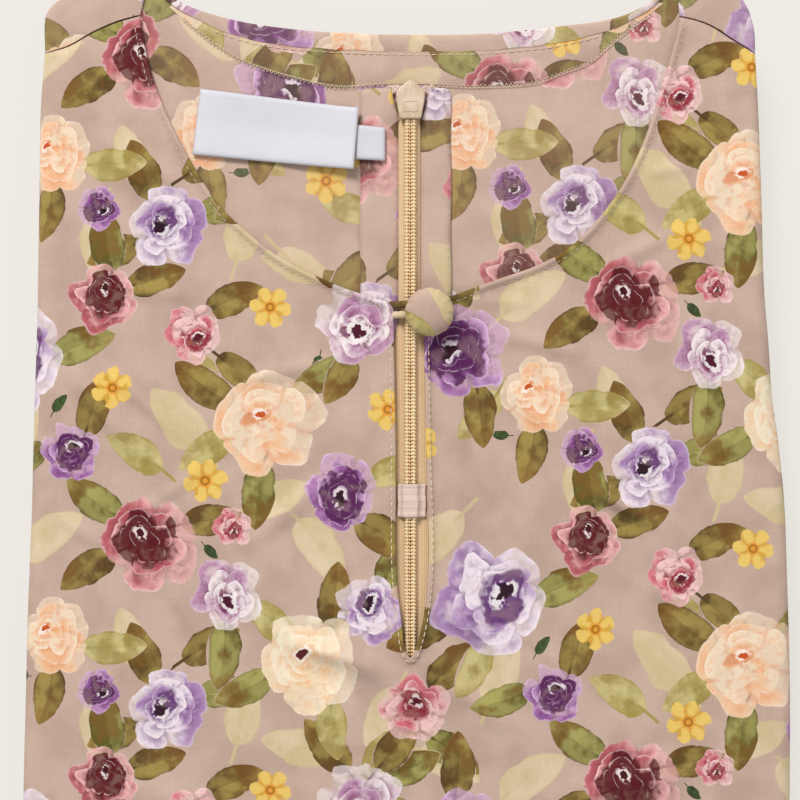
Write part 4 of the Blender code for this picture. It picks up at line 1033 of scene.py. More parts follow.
SHOULDER_CREASES = (  # x0, y0, x1, y1, height, half width
    (-112.0, 150.0, -92.0, 158.0, 0.5, 3.0),
    (92.0, 158.0, 108.0, 150.0, 0.5, 3.0),
    (-30.0, 144.0, -6.0, 146.0, 0.3, 2.0),
)
BACK_CREASES = (  # and the same
    (-56.0, 118.0, -30.0, 84.0, 0.4, 5.0),
    (30.0, 120.0, 56.0, 96.0, 0.4, 5.0),
    (20.0, 92.0, 40.0, 80.0, 0.35, 4.0),
    (-50.0, 96.0, -22.0, 90.0, 0.3, 4.0),
    (60.0, 146.0, 76.0, 128.0, 0.3, 4.0),
    (-66.0, 142.0, -72.0, 120.0, 0.3, 4.0),
)
OTHER_SIDE = np.array((61.0, 47.0))  # the print is in another place on cloth that is folded over


def roll_width(x):
    """How far the rolled edge reaches down at an X: it narrows to the shoulders."""
    return 1.2 + 4.4 * smooth((88.0 - np.abs(x)) / 45.0)


def rolled_edge(name, neck, shoulder, seam, side, material):
    """The outer cloth at the back neck and over the shoulder. side is -1 on the left."""
    neck, shoulder = through(neck, BACK_STEP), through(shoulder, BACK_STEP)
    seam = through(seam, BACK_STEP)
    foot = moved_in(neck, side * (roll_width(neck[:, 0]) + 0.15 * np.sin(0.5 * neck[:, 0])))
    foot[-1][0] = neck[-1][0]
    fold = np.vstack([shoulder, neck[1:]])
    edge = np.vstack([fold, foot[:1:-1], seam[:0:-1]])
    rows = [moved_in(fold, side * d)[2:-2] for d in ROLL_ROWS]
    flat, faces, _ = fill(edge, rows, BACK_STEP)
    turn = rounded_off(reach(flat, fold), FOLD_ROUND)
    cap = smooth((reach(flat, np.vstack([foot[2:], foot[-1:]])) - 1.0) / 5.0)
    on_roll = smooth((roll_width(flat[:, 0]) + 1.5 - reach(flat, neck)) / 1.5) * (1.0 - cap)
    low_edge = rounded_off(reach(flat, foot[2:]), 0.45) + rounded_off(reach(flat, seam), 0.3)
    folds = ridges(flat, SHOULDER_CREASES) + 0.5 * ripple(flat)
    top = HEIGHT - TRIM_DEPTH * on_roll - turn - low_edge + folds * smooth(reach(flat, edge) / 3.0)
    base = np.minimum(HEIGHT - 2.7 + turn, top - 0.02)
    points, closed = shell(raised(flat, top), raised(flat, base), faces)
    cloth = np.vstack([flat, flat]) + OTHER_SIDE
    return add_mesh(name, points, closed, material, cloth)


def back_inside(name, neck, seam, front_neck, side, material):
    """The inside of a back half: what shows, and what runs on under the front."""
    neck, seam = through(neck, BACK_STEP), through(seam, BACK_STEP)
    front_neck = through(front_neck, BACK_STEP)
    centre = neck[-1][0]
    top = moved_in(neck, side * (roll_width(neck[:, 0]) - UNDER_ROLL))[3:]
    top[-1][0] = centre
    hidden = moved_in(front_neck[3:-3], UNDER_FRONT * side)
    hidden = hidden[hidden[:, 1] > 50.0]
    beside = centre + INSIDE_HALF * side
    edge = np.vstack([top, [(centre, y) for y in np.arange(140.0, -64.0, -BACK_STEP)]])
    strip = [(centre, INSIDE_LOW), (beside, INSIDE_LOW), (beside, 44.0)]
    edge = np.vstack([edge, strip, hidden[::-1]])
    edge = np.vstack([edge, [seam[-1] + (side * 9.0, -3.0), seam[-1] + (side * 2.5, 0.8)]])
    flat, faces, _ = fill(edge, [], BACK_STEP)
    folds = ridges(flat, BACK_CREASES) + 0.8 * ripple(flat)
    shown = smooth((flat[:, 1] - 62.0) / 10.0) * smooth((np.abs(flat[:, 0] - ZIP_X) - 17.0) / 6.0)
    rise = np.clip(folds, -0.1, 0.5) * shown * smooth(reach(flat, front_neck) / 9.0)
    level = HEIGHT - BACK_DEPTH + rise
    points, closed = shell(raised(flat, level), raised(flat, level - BACK_WALL), faces)
    cloth = (np.vstack([flat, flat]) + (23.0, 71.0)) * (side, 1.0)
    return add_mesh(name, points, closed, material, cloth)


# %% [markdown]
# Several flat pieces are sewn to the inside of the back: two strips of facing, the two halves of the
# centre seam, pressed open, and the zip's tapes. They differ only in outline and depth, so one function
# fills any outline and rounds its edge. A second function can raise or press a piece where it has to be.

# %% Facings, seam allowances and tapes
LEFT_FACING = (
    (-77.2, 155.8), (-74.0, 153.2), (-70.2, 149.7), (-65.7, 146.0), (-58.5, 140.8), (-50.5, 136.8),
    (-34.4, 131.9), (-21.5, 129.4), (-10.0, 130.2), (ZIP_X, 130.6),
)
RIGHT_FACING = (
    (83.5, 157.0), (78.0, 152.6), (70.6, 147.4), (66.0, 143.4), (58.9, 137.6), (49.5, 133.9),
    (43.1, 131.4), (23.7, 129.7), (12.0, 130.2), (ZIP_X, 130.6),
)
FACING_TOP, FACING_BASE = 0.55, 1.3  # depths below the front
FACING_TUCK = 0.15  # how far it runs on under the roll
FACING_EDGE, FACING_SLOPE = 1.0, 3.5  # its lower edge is pressed flat: how deep, and from how far in
ZIP_LOW, TRIM_TOP = -62.0, 129.0
TAPE_LEFT, TAPE_RIGHT = -2.6, 4.5  # X of what the seam leaves bare of the tape
SLIT_TAPE_LEFT, SLIT_TAPE_RIGHT = -4.9, 8.2  # and in the slit, where it shows all across
TAPE_CHANGE, TAPE_CHANGE_RUN = 46.0, 8.0  # Y where the one turns into the other
ALLOWANCE_LEFT, ALLOWANCE_RIGHT = -15.0, 14.4  # X of their cut edges
ALLOWANCE_CORNER = 2.2
SLIDER_LOW, SLIDER_TOP = 118.7, 131.0
BESIDE_SLIDER = ((3.3, 12.0), (4.6, 8.0), (5.4, 4.5), (5.6, 1.5))  # half width, and down from its top
ALLOWANCE_DEPTHS, TAPE_DEPTHS = (0.45, 1.25), (0.35, 1.2)  # upper and lower side, below the front


def lying_flat(
    name, outline, depths, material, cloth=None, slot="inside_cloth", step=2.2, wave=0.0, swell=None
):
    """A flat piece on the back halves, with softly rounded edges. depths are below the front."""
    outline = np.array(outline, float)
    wall = np.vstack([outline, outline[:1]])
    count = np.maximum(1, np.ceil(np.linalg.norm(np.diff(wall, axis=0), axis=1) / step)).astype(int)
    edge = [a + (b - a) * i / n for a, b, n in zip(wall, wall[1:], count) for i in range(n)]
    flat, faces, _ = fill(np.array(edge), [], step)
    away = smooth((np.abs(flat[:, 0] - ZIP_X) - 0.1) / 1.2)
    rise = wave * ripple(flat) - rounded_off(reach(flat, wall), 0.3) * away
    swollen = 0.0 if swell is None else swell(flat)
    top = raised(flat, HEIGHT - depths[0] + rise + swollen)
    base = raised(flat, HEIGHT - depths[1] + swollen)
    points, closed = shell(top, base, faces)
    moved = None if cloth is None else np.vstack([flat, flat]) + cloth
    return add_mesh(name, points, closed, material, moved)


def facing(name, lower, neck, side, material):
    """The strip of facing, from its overlocked lower edge to where it runs on under the roll."""
    lower, neck = through(lower, BACK_STEP), through(neck, BACK_STEP)
    upper = moved_in(neck, side * (roll_width(neck[:, 0]) - FACING_TUCK))
    upper[-1][0] = ZIP_X
    upper = upper[np.abs(upper[:, 0]) < abs(lower[0][0]) - 1.0]
    outline = np.vstack([lower, upper[::-1]])

    def pressed(flat):
        return (FACING_TOP - FACING_EDGE) * smooth(1.0 - reach(flat, lower) / FACING_SLOPE)

    depths = (FACING_TOP, FACING_BASE)
    return lying_flat(name, outline, depths, material, (40.0, 90.0), wave=0.5, swell=pressed)


def tape_edge(high, low, top):
    """Up the outer edge of the tape, from its X above the slit, its X in the slit and its upper end."""
    return [(low, ZIP_LOW), (low, TAPE_CHANGE), (high, TAPE_CHANGE + TAPE_CHANGE_RUN), (high, top)]


def zip_tape(name, inner, high, low, material):
    """One tape. inner is its X beside the coils, high and low its outer X above the slit and in it."""
    top = TRIM_TOP + 0.7
    outline = [(inner, top), (inner, ZIP_LOW)] + tape_edge(high, low, top)
    return lying_flat(name, outline, TAPE_DEPTHS, material, slot="zip_tape", step=1.3, wave=0.2)


def pushed_up(flat):
    """How far the slider pushes the seam allowances up beside it."""
    beside = smooth((13.0 - np.abs(flat[:, 0] - ZIP_X)) / 6.0)
    low = smooth((flat[:, 1] - SLIDER_LOW + 3.0) / 5.0)
    return 1.1 * beside * (low * smooth((SLIDER_TOP + 1.0 - flat[:, 1]) / 3.0))


def allowance(name, high, low, far, material):
    """A pressed-open seam allowance. far is the X of its cut edge."""
    side = math.copysign(1.0, far - high)
    corner = []
    for angle in np.linspace(0.0, 0.5 * math.pi, 6):
        cut = [ALLOWANCE_CORNER * (1.0 - part(angle)) for part in (math.cos, math.sin)]
        corner.append((far - side * cut[0], TRIM_TOP - cut[1]))
    wavy = [(far + 0.18 * math.sin(0.21 * y), y) for y in np.arange(ZIP_LOW, TRIM_TOP - 3.0, 3.0)]
    near = tape_edge(high + side * 0.06, low + side * 0.06, SLIDER_LOW - 1.0)
    near += [(ZIP_X + side * (w + 0.4), SLIDER_TOP - d) for w, d in BESIDE_SLIDER]
    near += [(ZIP_X + side * 5.6, TRIM_TOP)]
    cloth = (side * 66.0, 31.0)
    outline = wavy + corner + near[::-1]
    form = {"step": 1.6, "wave": 0.6, "swell": pushed_up}
    return lying_flat(name, outline, ALLOWANCE_DEPTHS, material, cloth, **form)


# %% [markdown]
# The zip closes the back from below: two coils on two tapes, with the slider at the top and a small tab
# of ribbon across the coils. A coil is one wire, so one bent turn of it is made and Geometry
# Nodes repeat it along the zip. The same nodes lay stitches along every seam later.

# %% Tubes and repeated pieces
def tube_parts(route, radius, sides):
    """A tube along points in millimetres: its points and its faces."""
    route = np.asarray(route, float)
    along = np.gradient(route, axis=0)
    along /= np.linalg.norm(along, axis=1, keepdims=True)
    across = np.cross((0.0, 0.0, 1.0), along)
    across /= np.maximum(np.linalg.norm(across, axis=1, keepdims=True), 1e-9)
    up = np.cross(along, across)
    radius = np.broadcast_to(radius, len(route))
    rings = []
    for angle in np.linspace(0.0, 2.0 * math.pi, sides, endpoint=False):
        rings.append(route + radius[:, None] * (math.cos(angle) * across + math.sin(angle) * up))
    return np.stack(rings, axis=1).reshape(-1, 3), ring_faces(sides, len(route))


def joined(parts):
    """Several bodies as the points and faces of one mesh."""
    points, faces, first = [], [], 0
    for part, part_faces in parts:
        points.append(np.asarray(part, float))
        faces += [tuple(first + i for i in f) for f in part_faces]
        first += len(part)
    return np.vstack(points), faces


def repeater():
    """The node group that sets copies of a unit along a line, each a little different."""
    group = bpy.data.node_groups.new("Along a line", "GeometryNodeTree")
    for name, kind in (
        ("Geometry", "Geometry"),
        ("Unit", "Object"),
        ("Spacing", "Float"),
        ("Uneven angle", "Float"),
        ("Uneven size", "Float"),
        ("Seed", "Int"),
        ("Material", "Material"),
    ):
        group.interface.new_socket(name, in_out="INPUT", socket_type="NodeSocket" + kind)
    group.interface.new_socket("Geometry", in_out="OUTPUT", socket_type="NodeSocketGeometry")
    graph = Graph(group)
    given = {socket.name: Wire(graph, socket) for socket in graph.nodes.new("NodeGroupInput").outputs}
    tilt, uneven, seed = given["Uneven angle"], given["Uneven size"], given["Seed"]
    curve = graph.node("GeometryNodeMeshToCurve", {}, {"Mesh": given["Geometry"]})
    inputs = {"Curve": curve, "Length": given["Spacing"]}
    places = graph.node("GeometryNodeCurveToPoints", {"mode": "LENGTH"}, inputs)
    unit = graph.node("GeometryNodeObjectInfo", {}, {"Object": given["Unit"]}, "Geometry")
    align = "FunctionNodeAlignRotationToVector"
    along = graph.node(align, {"axis": "X"}, {"Vector": places.other("Tangent")})
    inputs = {"Rotation": along, "Vector": (0.0, 0.0, 1.0)}
    upright = graph.node(align, {"axis": "Z", "pivot_axis": "X"}, inputs)
    angle = graph.node("FunctionNodeRandomValue", {}, {2: tilt * -1.0, 3: tilt, "Seed": seed}, 1)
    size = graph.node("FunctionNodeRandomValue", {}, {2: 1.0 - uneven, 3: 1.0 + uneven, "Seed": seed}, 1)
    spin = graph.node("ShaderNodeCombineXYZ", {}, {"Z": angle})
    spin = graph.node("FunctionNodeEulerToRotation", {}, {0: spin})
    inputs = {"Rotation": upright, "Rotate By": spin}
    turned_to = graph.node("FunctionNodeRotateRotation", {"rotation_space": "LOCAL"}, inputs)
    inputs = {"Points": places, "Instance": unit, "Rotation": turned_to, "Scale": size}
    copies = graph.node("GeometryNodeInstanceOnPoints", {}, inputs)
    real = graph.node("GeometryNodeRealizeInstances", {}, {0: copies})
    painted = graph.node("GeometryNodeSetMaterial", {}, {"Geometry": real, "Material": given["Material"]})
    graph.feed(graph.nodes.new("NodeGroupOutput").inputs["Geometry"], painted)
    return group


ALONG = repeater()
print(ALONG.name, len(ALONG.nodes), "nodes")


def along_line(name, line, unit, spacing, material, uneven, seed):
    """A mesh of copies of a unit along points in millimetres. A unit is the points and faces of one."""
    route = linked(name + "_line", mesh_of(name, line, [(i, i + 1) for i in range(len(line) - 1)], []))
    shape = mesh_of(name + "_unit", unit[0], [], unit[1])
    right_way_out(shape)
    shape.shade_smooth()
    one = linked(name + "_unit", shape)
    values = {"Unit": one, "Spacing": MM * spacing, "Seed": seed, "Material": material}
    values["Uneven angle"], values["Uneven size"] = uneven
    modifier = route.modifiers.new("along", "NODES")
    modifier.node_group = ALONG
    for item in ALONG.interface.items_tree:
        if item.in_out == "INPUT" and item.name in values:
            modifier[item.identifier] = values[item.name]
    view = bpy.context.evaluated_depsgraph_get()
    copied = bpy.data.meshes.new_from_object(route.evaluated_get(view))
    route.modifiers.remove(modifier)
    for old in (route, one):
        bpy.data.objects.remove(old)
    print(name, len(copied.polygons), "faces")
    return linked(name, copied)


# %% Zip
COIL_WIDTH, COIL_BASE, COIL_HEIGHT = 1.95, -0.1, 1.3
COIL_MIDDLE = 0.65  # a turn's middle above the coil's base
COIL_SEAM = 1.12  # from the zip's middle to the stitches that hold a coil
TOOTH_PITCH, WIRE = 1.15, 0.38
SLIDER_LEVELS = (  # heights above the coils' base, and the outline's scale there
    (0.0, 0.94), (0.25, 0.99), (0.5, 1.0), (2.3, 1.0),
    (2.52, 0.99), (2.68, 0.965), (2.72, 0.94), (2.72, 0.9),
)
SLIDER_HALF = (  # from its top down the right side: how far down, and half its width
    (0.0, 0.55), (0.35, 1.15), (1.6, 2.6), (3.0, 4.1), (3.5, 4.5), (4.1, 4.65),
    (6.0, 4.55), (8.6, 4.1), (11.4, 3.6), (12.0, 3.45), (12.3, 3.1),
)


def coil(name, side, material, seed):
    """One coil: turns of wire whose heads meet at the middle. side is -1 on the left."""
    middle, half = ZIP_X + side * 0.5 * COIL_WIDTH, 0.5 * COIL_WIDTH - WIRE + 0.08
    turn = []
    for angle in np.linspace(-0.5 * math.pi, 1.5 * math.pi, 15)[:-1]:
        lean = 0.30 * math.sin(angle)
        squash = math.copysign(abs(math.cos(angle)) ** 0.6, math.cos(angle))
        height = COIL_MIDDLE - WIRE * 0.9
        turn.append((lean, side * half * squash, COIL_MIDDLE + height * math.sin(angle)))
    turn.append((turn[0][0] + 0.2, turn[0][1], turn[0][2]))
    wire = tube_parts(turn, WIRE, 6)
    line = [(middle, y, HEIGHT - COIL_BASE) for y in np.arange(ZIP_LOW + 1.0, SLIDER_LOW - 0.4, 1.0)]
    made = along_line(name, settled(line), wire, TOOTH_PITCH, material, (0.03, 0.02), seed)
    return made


def prism(outline, levels):
    """A body whose section is an outline scaled about its middle: levels are heights and scales."""
    outline = np.asarray(outline, float)
    middle = 0.5 * (outline.min(0) + outline.max(0))
    points = []
    for height, scale in levels:
        ring = middle + (outline - middle) * scale
        points.append(np.column_stack([ring, np.full(len(ring), height)]))
    return np.vstack(points), ring_faces(len(outline), len(levels))


def slider(material):
    """The slider's inner face, a little house: a ridge down its upper half and a plain sunk panel."""
    right = [(ZIP_X + w, SLIDER_TOP - d) for d, w in SLIDER_HALF]
    ring = right + [(2.0 * ZIP_X - x, y) for x, y in reversed(right)]
    base = HEIGHT - COIL_BASE
    body = prism(ring, [(base + height, scale) for height, scale in SLIDER_LEVELS])
    x0, x1, y0, y1 = ZIP_X - 2.2, ZIP_X + 2.2, SLIDER_LOW + 2.2, SLIDER_LOW + 5.6
    corners = [(x0, y0), (x1, y0), (x1, y1), (x0, y1)]
    line = []
    for a, b in zip(corners, corners[1:] + corners[:1]):
        line += [np.array(a) + (np.array(b) - a) * share for share in (0.04, 0.5, 0.96)]
    rim = tube_parts([(x, y, base + 2.70) for x, y in line + line[:1]], 0.2, 8)
    bar = [(ZIP_X, y, base + 2.33) for y in np.linspace(SLIDER_TOP - 5.4, SLIDER_TOP - 0.6, 7)]
    ridge = tube_parts(bar, (0.36, 0.48, 0.52, 0.52, 0.52, 0.48, 0.36), 16)
    points, faces = joined([body, rim, ridge])
    made = add_mesh("zip_slider_body", settled(points), faces, material, None)
    made.data.set_sharp_from_angle(angle=math.radians(50.0))
    return made


TAB_SECTION = (  # X, and height above the front
    (-2.8, 0.1), (-2.1, 0.2), (-1.45, 0.9), (-0.9, 1.62), (0.0, 1.72), (1.3, 1.74),
    (2.6, 1.72), (3.5, 1.62), (4.05, 0.9), (4.8, 0.25), (5.6, 0.12), (6.2, 0.1),
)
TAB_LOW, TAB_TOP, TAB_ROWS, TAB_WALL = -9.7, 1.0, 20, 0.45


def ribbon_tab(material):
    """The ribbon that is sewn over the closed coils: it goes up over them and down again."""
    top = []
    line = through(TAB_SECTION, 0.35)
    for y in np.linspace(TAB_LOW, TAB_TOP, TAB_ROWS):
        swell = 0.14 * math.sin(1.9 * y) * math.sin(0.7 * y + 1.0)
        for x, z in line:
            top.append((x + 0.1 * math.sin(0.9 * y), y, HEIGHT + z + 0.5 + swell))
    faces = grid_faces(len(line), TAB_ROWS)
    points, closed = shell(settled(top), settled(np.array(top) - (0.0, 0.0, TAB_WALL)), faces)
    return add_mesh("zip_tab_ribbon", points, closed, material, None)


# %% [markdown]
# The labels are woven satin and blank. A label is a grid of points between its four corners, and a short
# curve along it says how high it lies, so that one end can curl up from its stitches. Its own UV map
# lets the satin's threads follow it.

# %% Labels
NECK_LABEL = ((-66.9, 129.0), (-15.4, 122.3), (-17.0, 102.3), (-69.2, 107.4))
SIZE_TAB = ((-16.6, 117.0), (-6.9, 116.0), (-6.9, 105.2), (-16.9, 105.8))
LABEL_LIFT = ((0.0, 0.0), (0.12, 0.25), (0.5, 0.15), (0.8, 0.9), (1.0, 2.6))  # share along it, and height
TAB_LIFT = ((0.0, 0.0), (0.5, 0.1), (1.0, 0.05))
NECK_LABEL_BASE, SIZE_TAB_BASE = HEIGHT - 1.2, HEIGHT + 0.1
LABEL_TOP, LABEL_WALL = 0.8, 0.6


def woven_label(name, corners, base, lifts, curl, material):
    """A blank woven label, whose folded-under ends are only rounded off here; one end lifts."""
    a, b, c, d = (np.array(p) for p in corners)
    long_way, short_way = np.linalg.norm(b - a), np.linalg.norm(d - a)
    us = np.linspace(0.0, 1.0, int(long_way / 0.8) + 1)
    vs = np.linspace(0.0, 1.0, int(short_way / 0.9) + 1)
    curve = through(lifts, 0.05)
    top, flat = [], []
    for v in vs:
        for u in us:
            x, y = (a + (b - a) * u) * (1.0 - v) + (d + (c - d) * u) * v
            near = min(u * long_way, (1.0 - u) * long_way, v * short_way, (1.0 - v) * short_way)
            lifted = np.interp(u, curve[:, 0], curve[:, 1]) + curl * smooth((v - 0.4) / 0.6)
            lifted += 0.12 * math.sin(5.0 * u + 2.0) * math.sin(4.0 * v) - rounded_off(near, 0.25)
            top.append((x, y, base + LABEL_TOP + lifted))
            flat.append((u * long_way, v * short_way))
    faces = grid_faces(len(us), len(vs), True)
    points, closed = shell(settled(top), settled(np.array(top) - (0.0, 0.0, LABEL_WALL)), faces)
    made = add_mesh(name, points, closed, material, None)
    corners_of = np.empty(len(made.data.loops), np.int32)
    made.data.loops.foreach_get("vertex_index", corners_of)
    layer = made.data.uv_layers.new(name="cloth")
    layer.uv.foreach_set("vector", (0.01 * np.array(flat * 2)[corners_of]).astype(np.float32).ravel())
    return made


# %% [markdown]
# Under the front lie the rest of the tunic and the skirt, folded. Only the folds' edges show, so each is
# one body whose side runs in and out once for each fold. No two folds end in the same place.

# %% Hidden folds
HIDDEN_TOP = (  # anticlockwise, from the right side over the shoulders to the left side
    (113.4, 140.6), (110.6, 149.5), (102.5, 155.6), (92.0, 158.0), (79.0, 151.0), (61.0, 144.5),
    (31.0, 140.5), (1.0, 139.8), (-29.0, 141.0), (-59.0, 144.6), (-77.0, 150.4), (-88.5, 158.0),
    (-101.0, 155.6), (-113.0, 149.5), (-117.6, 140.6),
)
FOLD_STEP, FILL_STEP = 2.6, 9.0  # between points, along the edge and inside it
SKIRT_LEVELS = (9.9, 7.9, 5.6, 3.9, 1.9, 0.0)
SKIRT_INSETS = (0.0, 0.7, 0.2, 1.1, 0.6)
SKIRT_FOOT, TUNIC_FOOT = 7.5, 7.5  # how far in the upper and lower faces begin
FIRST_ARC, LAST_ARC, ARC_STEPS = 12.0, 168.0, 5  # a fold's edge, in degrees
PEEK = (1.9, 2.0, 20.0)  # how far a fold shows past the front at the right, its Y and its half length


def fold_outline():
    """The closed outline of the folded stack, and its normals."""
    line = np.vstack([side_outline(FOLD_STEP), through(HIDDEN_TOP, FOLD_STEP)[1:-1]])
    return line, inward(line, closed=True)


def bulge(inset, top, base):
    """One fold's edge, from its upper to its lower crease: how far in, and the height."""
    radius, middle = 0.5 * (top - base), 0.5 * (top + base)
    turn = np.radians(np.linspace(FIRST_ARC, LAST_ARC, ARC_STEPS))
    return [(inset + radius * (1.0 - math.sin(a)), middle + radius * math.cos(a)) for a in turn]


def stack(name, rows, top, base, material):
    """A body from rows round the outline, each as how far in it lies and its height."""
    outline, normals = fold_outline()
    size = len(outline)
    run, before = np.zeros(size), rows[0]
    points, cloth = [], []
    for inset, height in rows:
        run = run + np.hypot(inset - before[0], height - before[1])
        before = (inset, height)
        points.append(raised(outline + normals * np.broadcast_to(inset, size)[:, None], height))
        cloth.append(outline - normals * run[:, None])
    faces = ring_faces(size, len(rows), True, False)
    points, cloth = np.vstack(points), np.vstack(cloth)
    for first, height, upward in ((0, top, True), (size * (len(rows) - 1), base, False)):
        flat, filled, rim = fill(points[first : first + size, :2], [], FILL_STEP)
        index = np.arange(len(points), len(points) + len(flat))
        index[rim] = np.arange(first, first + size)
        kept = np.setdiff1d(np.arange(len(flat)), rim)
        index[kept] = np.arange(len(points), len(points) + len(kept))
        points = np.vstack([points, raised(flat, height)[kept]])
        cloth = np.vstack([cloth, flat[kept] + OTHER_SIDE])
        faces += [tuple(index[list(f if upward else f[::-1])]) for f in filled]
    return add_mesh(name, points, faces, material, cloth + OTHER_SIDE)


def folded_tunic(material):
    outline, _ = fold_outline()
    x, y = outline[:, 0], outline[:, 1]
    high, low = smooth((y - 96.0) / 30.0), lower_end(y)
    turn = TURN_RADIUS + WIDER * low
    edge = 1.2 * high + 0.2
    top = HEIGHT - 1.5 - 1.5 * smooth((y - 96.0) / 18.0)
    groove = HEIGHT - 2.0 * turn - 0.25
    radius = 0.5 * (top - (HEIGHT - 2.0 * turn + 1.5))
    rows = []
    for angle in np.radians(np.linspace(0.0, 150.0, 6)):
        inset = edge + 1.5 + radius - radius * math.sin(angle)
        rows.append((inset, top - radius + radius * math.cos(angle)))
    rows.append((edge + 1.6 + radius, groove + 0.1))
    peek = PEEK[0] * smooth(1.0 - np.abs(y - PEEK[1]) / PEEK[2]) * (x > 0.0)
    along = lengths(outline)
    seat = SKIRT_LEVELS[0] + GAP
    levels = [groove, groove - 0.36 * (groove - seat), groove - 0.66 * (groove - seat), seat]
    for k, (upper, lower) in enumerate(zip(levels, levels[1:])):
        wave = 0.5 * np.sin(0.043 * along + 0.9 + 2.1 * k) + 0.35 * np.sin(0.017 * along + 3.0 * k)
        inset = edge + 1.0 + wave - peek * (1.0, 0.6, 0.1)[k] + 5.2 * low
        rows += bulge(inset, upper, lower)
    rows.append((edge + TUNIC_FOOT + 4.0 * low, seat))
    return stack("tunic_fold_layers", rows, HEIGHT - 3.1, seat, material)


def folded_skirt(material):
    outline, _ = fold_outline()
    along = lengths(outline)
    rows = [(SKIRT_FOOT, SKIRT_LEVELS[0])]
    for k, (upper, lower) in enumerate(zip(SKIRT_LEVELS, SKIRT_LEVELS[1:])):
        wave = 0.7 * np.sin(0.031 * along + 1.9 * k) + 0.3 * np.sin(0.083 * along + 2.6 * k)
        rows += bulge(2.9 + SKIRT_INSETS[k] + wave, upper, lower)
    rows.append((SKIRT_FOOT, SKIRT_LEVELS[-1]))
    return stack("skirt_fold_layers", rows, SKIRT_LEVELS[0], SKIRT_LEVELS[-1], material)


# %% [markdown]
# The button is a domed disc covered in the same cloth, and its loop is a tube of that cloth that leaves
# the slit's left edge, goes round the button's shank and comes back. The cloth on the button is pulled
# to its underside, so it has faint gathers towards the rim.

# %% Button and loop
BUTTON_PLACE, BUTTON_RADIUS, BUTTON_DOME = (7.3, 56.1), 7.75, 5.4
SHANK_RADIUS, LOOP_RADIUS, LOOP_SPREAD = 1.2, 1.2, 1.6
LOOP_START = (-3.85, 57.0)
BUTTON_CLOTH, LOOP_CLOTH = (75.0, 95.0), (12.0, 62.0)  # the part of the print that each shows
BUTTON_EDGE = 1.3  # its widest ring, above its underside
BUTTON_UNDER = ((0.35, 0.0), (0.62, 0.0), (0.82, 0.25), (0.94, 0.75))  # share of its radius, and height
BUTTON_SIDES, LOOP_SIDES = 96, 20


def covered_button(material):
    x, y = BUTTON_PLACE
    foot = HEIGHT + ZIP_RISE + GAP
    under = foot + 2.0 * LOOP_RADIUS + 0.7
    profile = [(SHANK_RADIUS, foot), (SHANK_RADIUS, under - 0.2)]
    profile += [(share * BUTTON_RADIUS, under + height) for share, height in BUTTON_UNDER]
    for angle in np.linspace(0.0, 0.5 * math.pi, 22)[:-1]:
        height = BUTTON_EDGE + (BUTTON_DOME - BUTTON_EDGE) * math.sin(angle)
        profile.append((BUTTON_RADIUS * math.cos(angle) ** 0.9, under + height))
    profile = profile[::-1]
    turn = 2.0 * math.pi * np.arange(BUTTON_SIDES) / BUTTON_SIDES
    away = np.column_stack([np.cos(turn), np.sin(turn)])
    run, before = 0.0, profile[0]
    points, cloth = [], []
    for radius, height in profile:
        run += math.hypot(radius - before[0], height - before[1])
        before = (radius, height)
        near_rim = smooth((radius / BUTTON_RADIUS - 0.55) / 0.4)
        gather = 0.09 * near_rim * (np.sin(13.0 * turn) + 0.7 * np.sin(22.0 * turn + 1.0))
        ring = (x, y) + (radius + gather)[:, None] * away
        points.append(np.column_stack([ring, height + 0.5 * gather]))
        cloth.append(BUTTON_CLOTH + (run + 0.2) * away)
    points, cloth = settled(np.vstack(points)), np.vstack(cloth)
    faces = ring_faces(BUTTON_SIDES, len(profile), True)
    return add_mesh("covered_button", points, faces, material, cloth)


def loop_route():
    """From the slit's left edge round the shank and back, each end tucked into the edge."""
    x, y = BUTTON_PLACE
    turn = SHANK_RADIUS + GAP + LOOP_RADIUS
    high, low = HEIGHT + ZIP_RISE + LOOP_RADIUS + 0.4, HEIGHT + ZIP_RISE + 0.1
    start, middle = LOOP_START
    up, down = middle + LOOP_SPREAD, middle - LOOP_SPREAD
    route = [(start - 1.2, up + 0.1, low - 0.9), (start, up, low), (start + 1.1, up, low + 0.5)]
    route += [(start + 2.4, up, high), (1.0, up + 0.1, high), (4.5, y + turn - 0.1, high)]
    for angle in np.radians((80, 40, 0, -40, -80)):
        route.append((x + turn * math.cos(angle), y + turn * math.sin(angle), high))
    route += [(4.5, y - turn + 0.1, high), (1.0, down - 0.5, high), (start + 2.4, down, high)]
    route += [(start + 1.1, down, low + 0.5), (start, down, low), (start - 1.2, down - 0.1, low - 0.9)]
    return through(route, 0.45)


def cloth_loop(material):
    line = loop_route()
    along = lengths(line)
    radius = LOOP_RADIUS * (1.0 + 0.05 * np.sin(1.7 * along) + 0.04 * np.sin(3.1 * along + 1.0))
    points, faces = tube_parts(line, radius, LOOP_SIDES)
    around = np.arange(LOOP_SIDES) / LOOP_SIDES * 2.0 * math.pi * LOOP_RADIUS
    cloth = np.column_stack([np.repeat(along, LOOP_SIDES), np.tile(around, len(line))]) + LOOP_CLOTH
    return add_mesh("cloth_loop", settled(points), faces, material, cloth)


# %% [markdown]
# The neck and the slit are topstitched close to their folded edge. Under the back neck the facing's raw
# edge is overlocked, which shows as a fine zigzag. Each stitch is one short thread that dips into the
# cloth at its ends.

# %% Stitches
def stitch(long, thick=0.15):
    """One stitch's thread, along x."""
    ends = np.linspace(-0.5, 0.5, 7)
    line = [(long * t, 0.0, thick * (0.9 - 5.0 * t * t)) for t in ends]
    return tube_parts(line, thick * np.array((0.5, 0.85, 1.0, 1.0, 1.0, 0.85, 0.5)), 6)


def topstitch(name, line, material, spacing, seed):
    line = raised(line, front_level(line) + 0.03)
    return along_line(name, line, stitch(0.72 * spacing), spacing, material, (0.05, 0.06), seed)


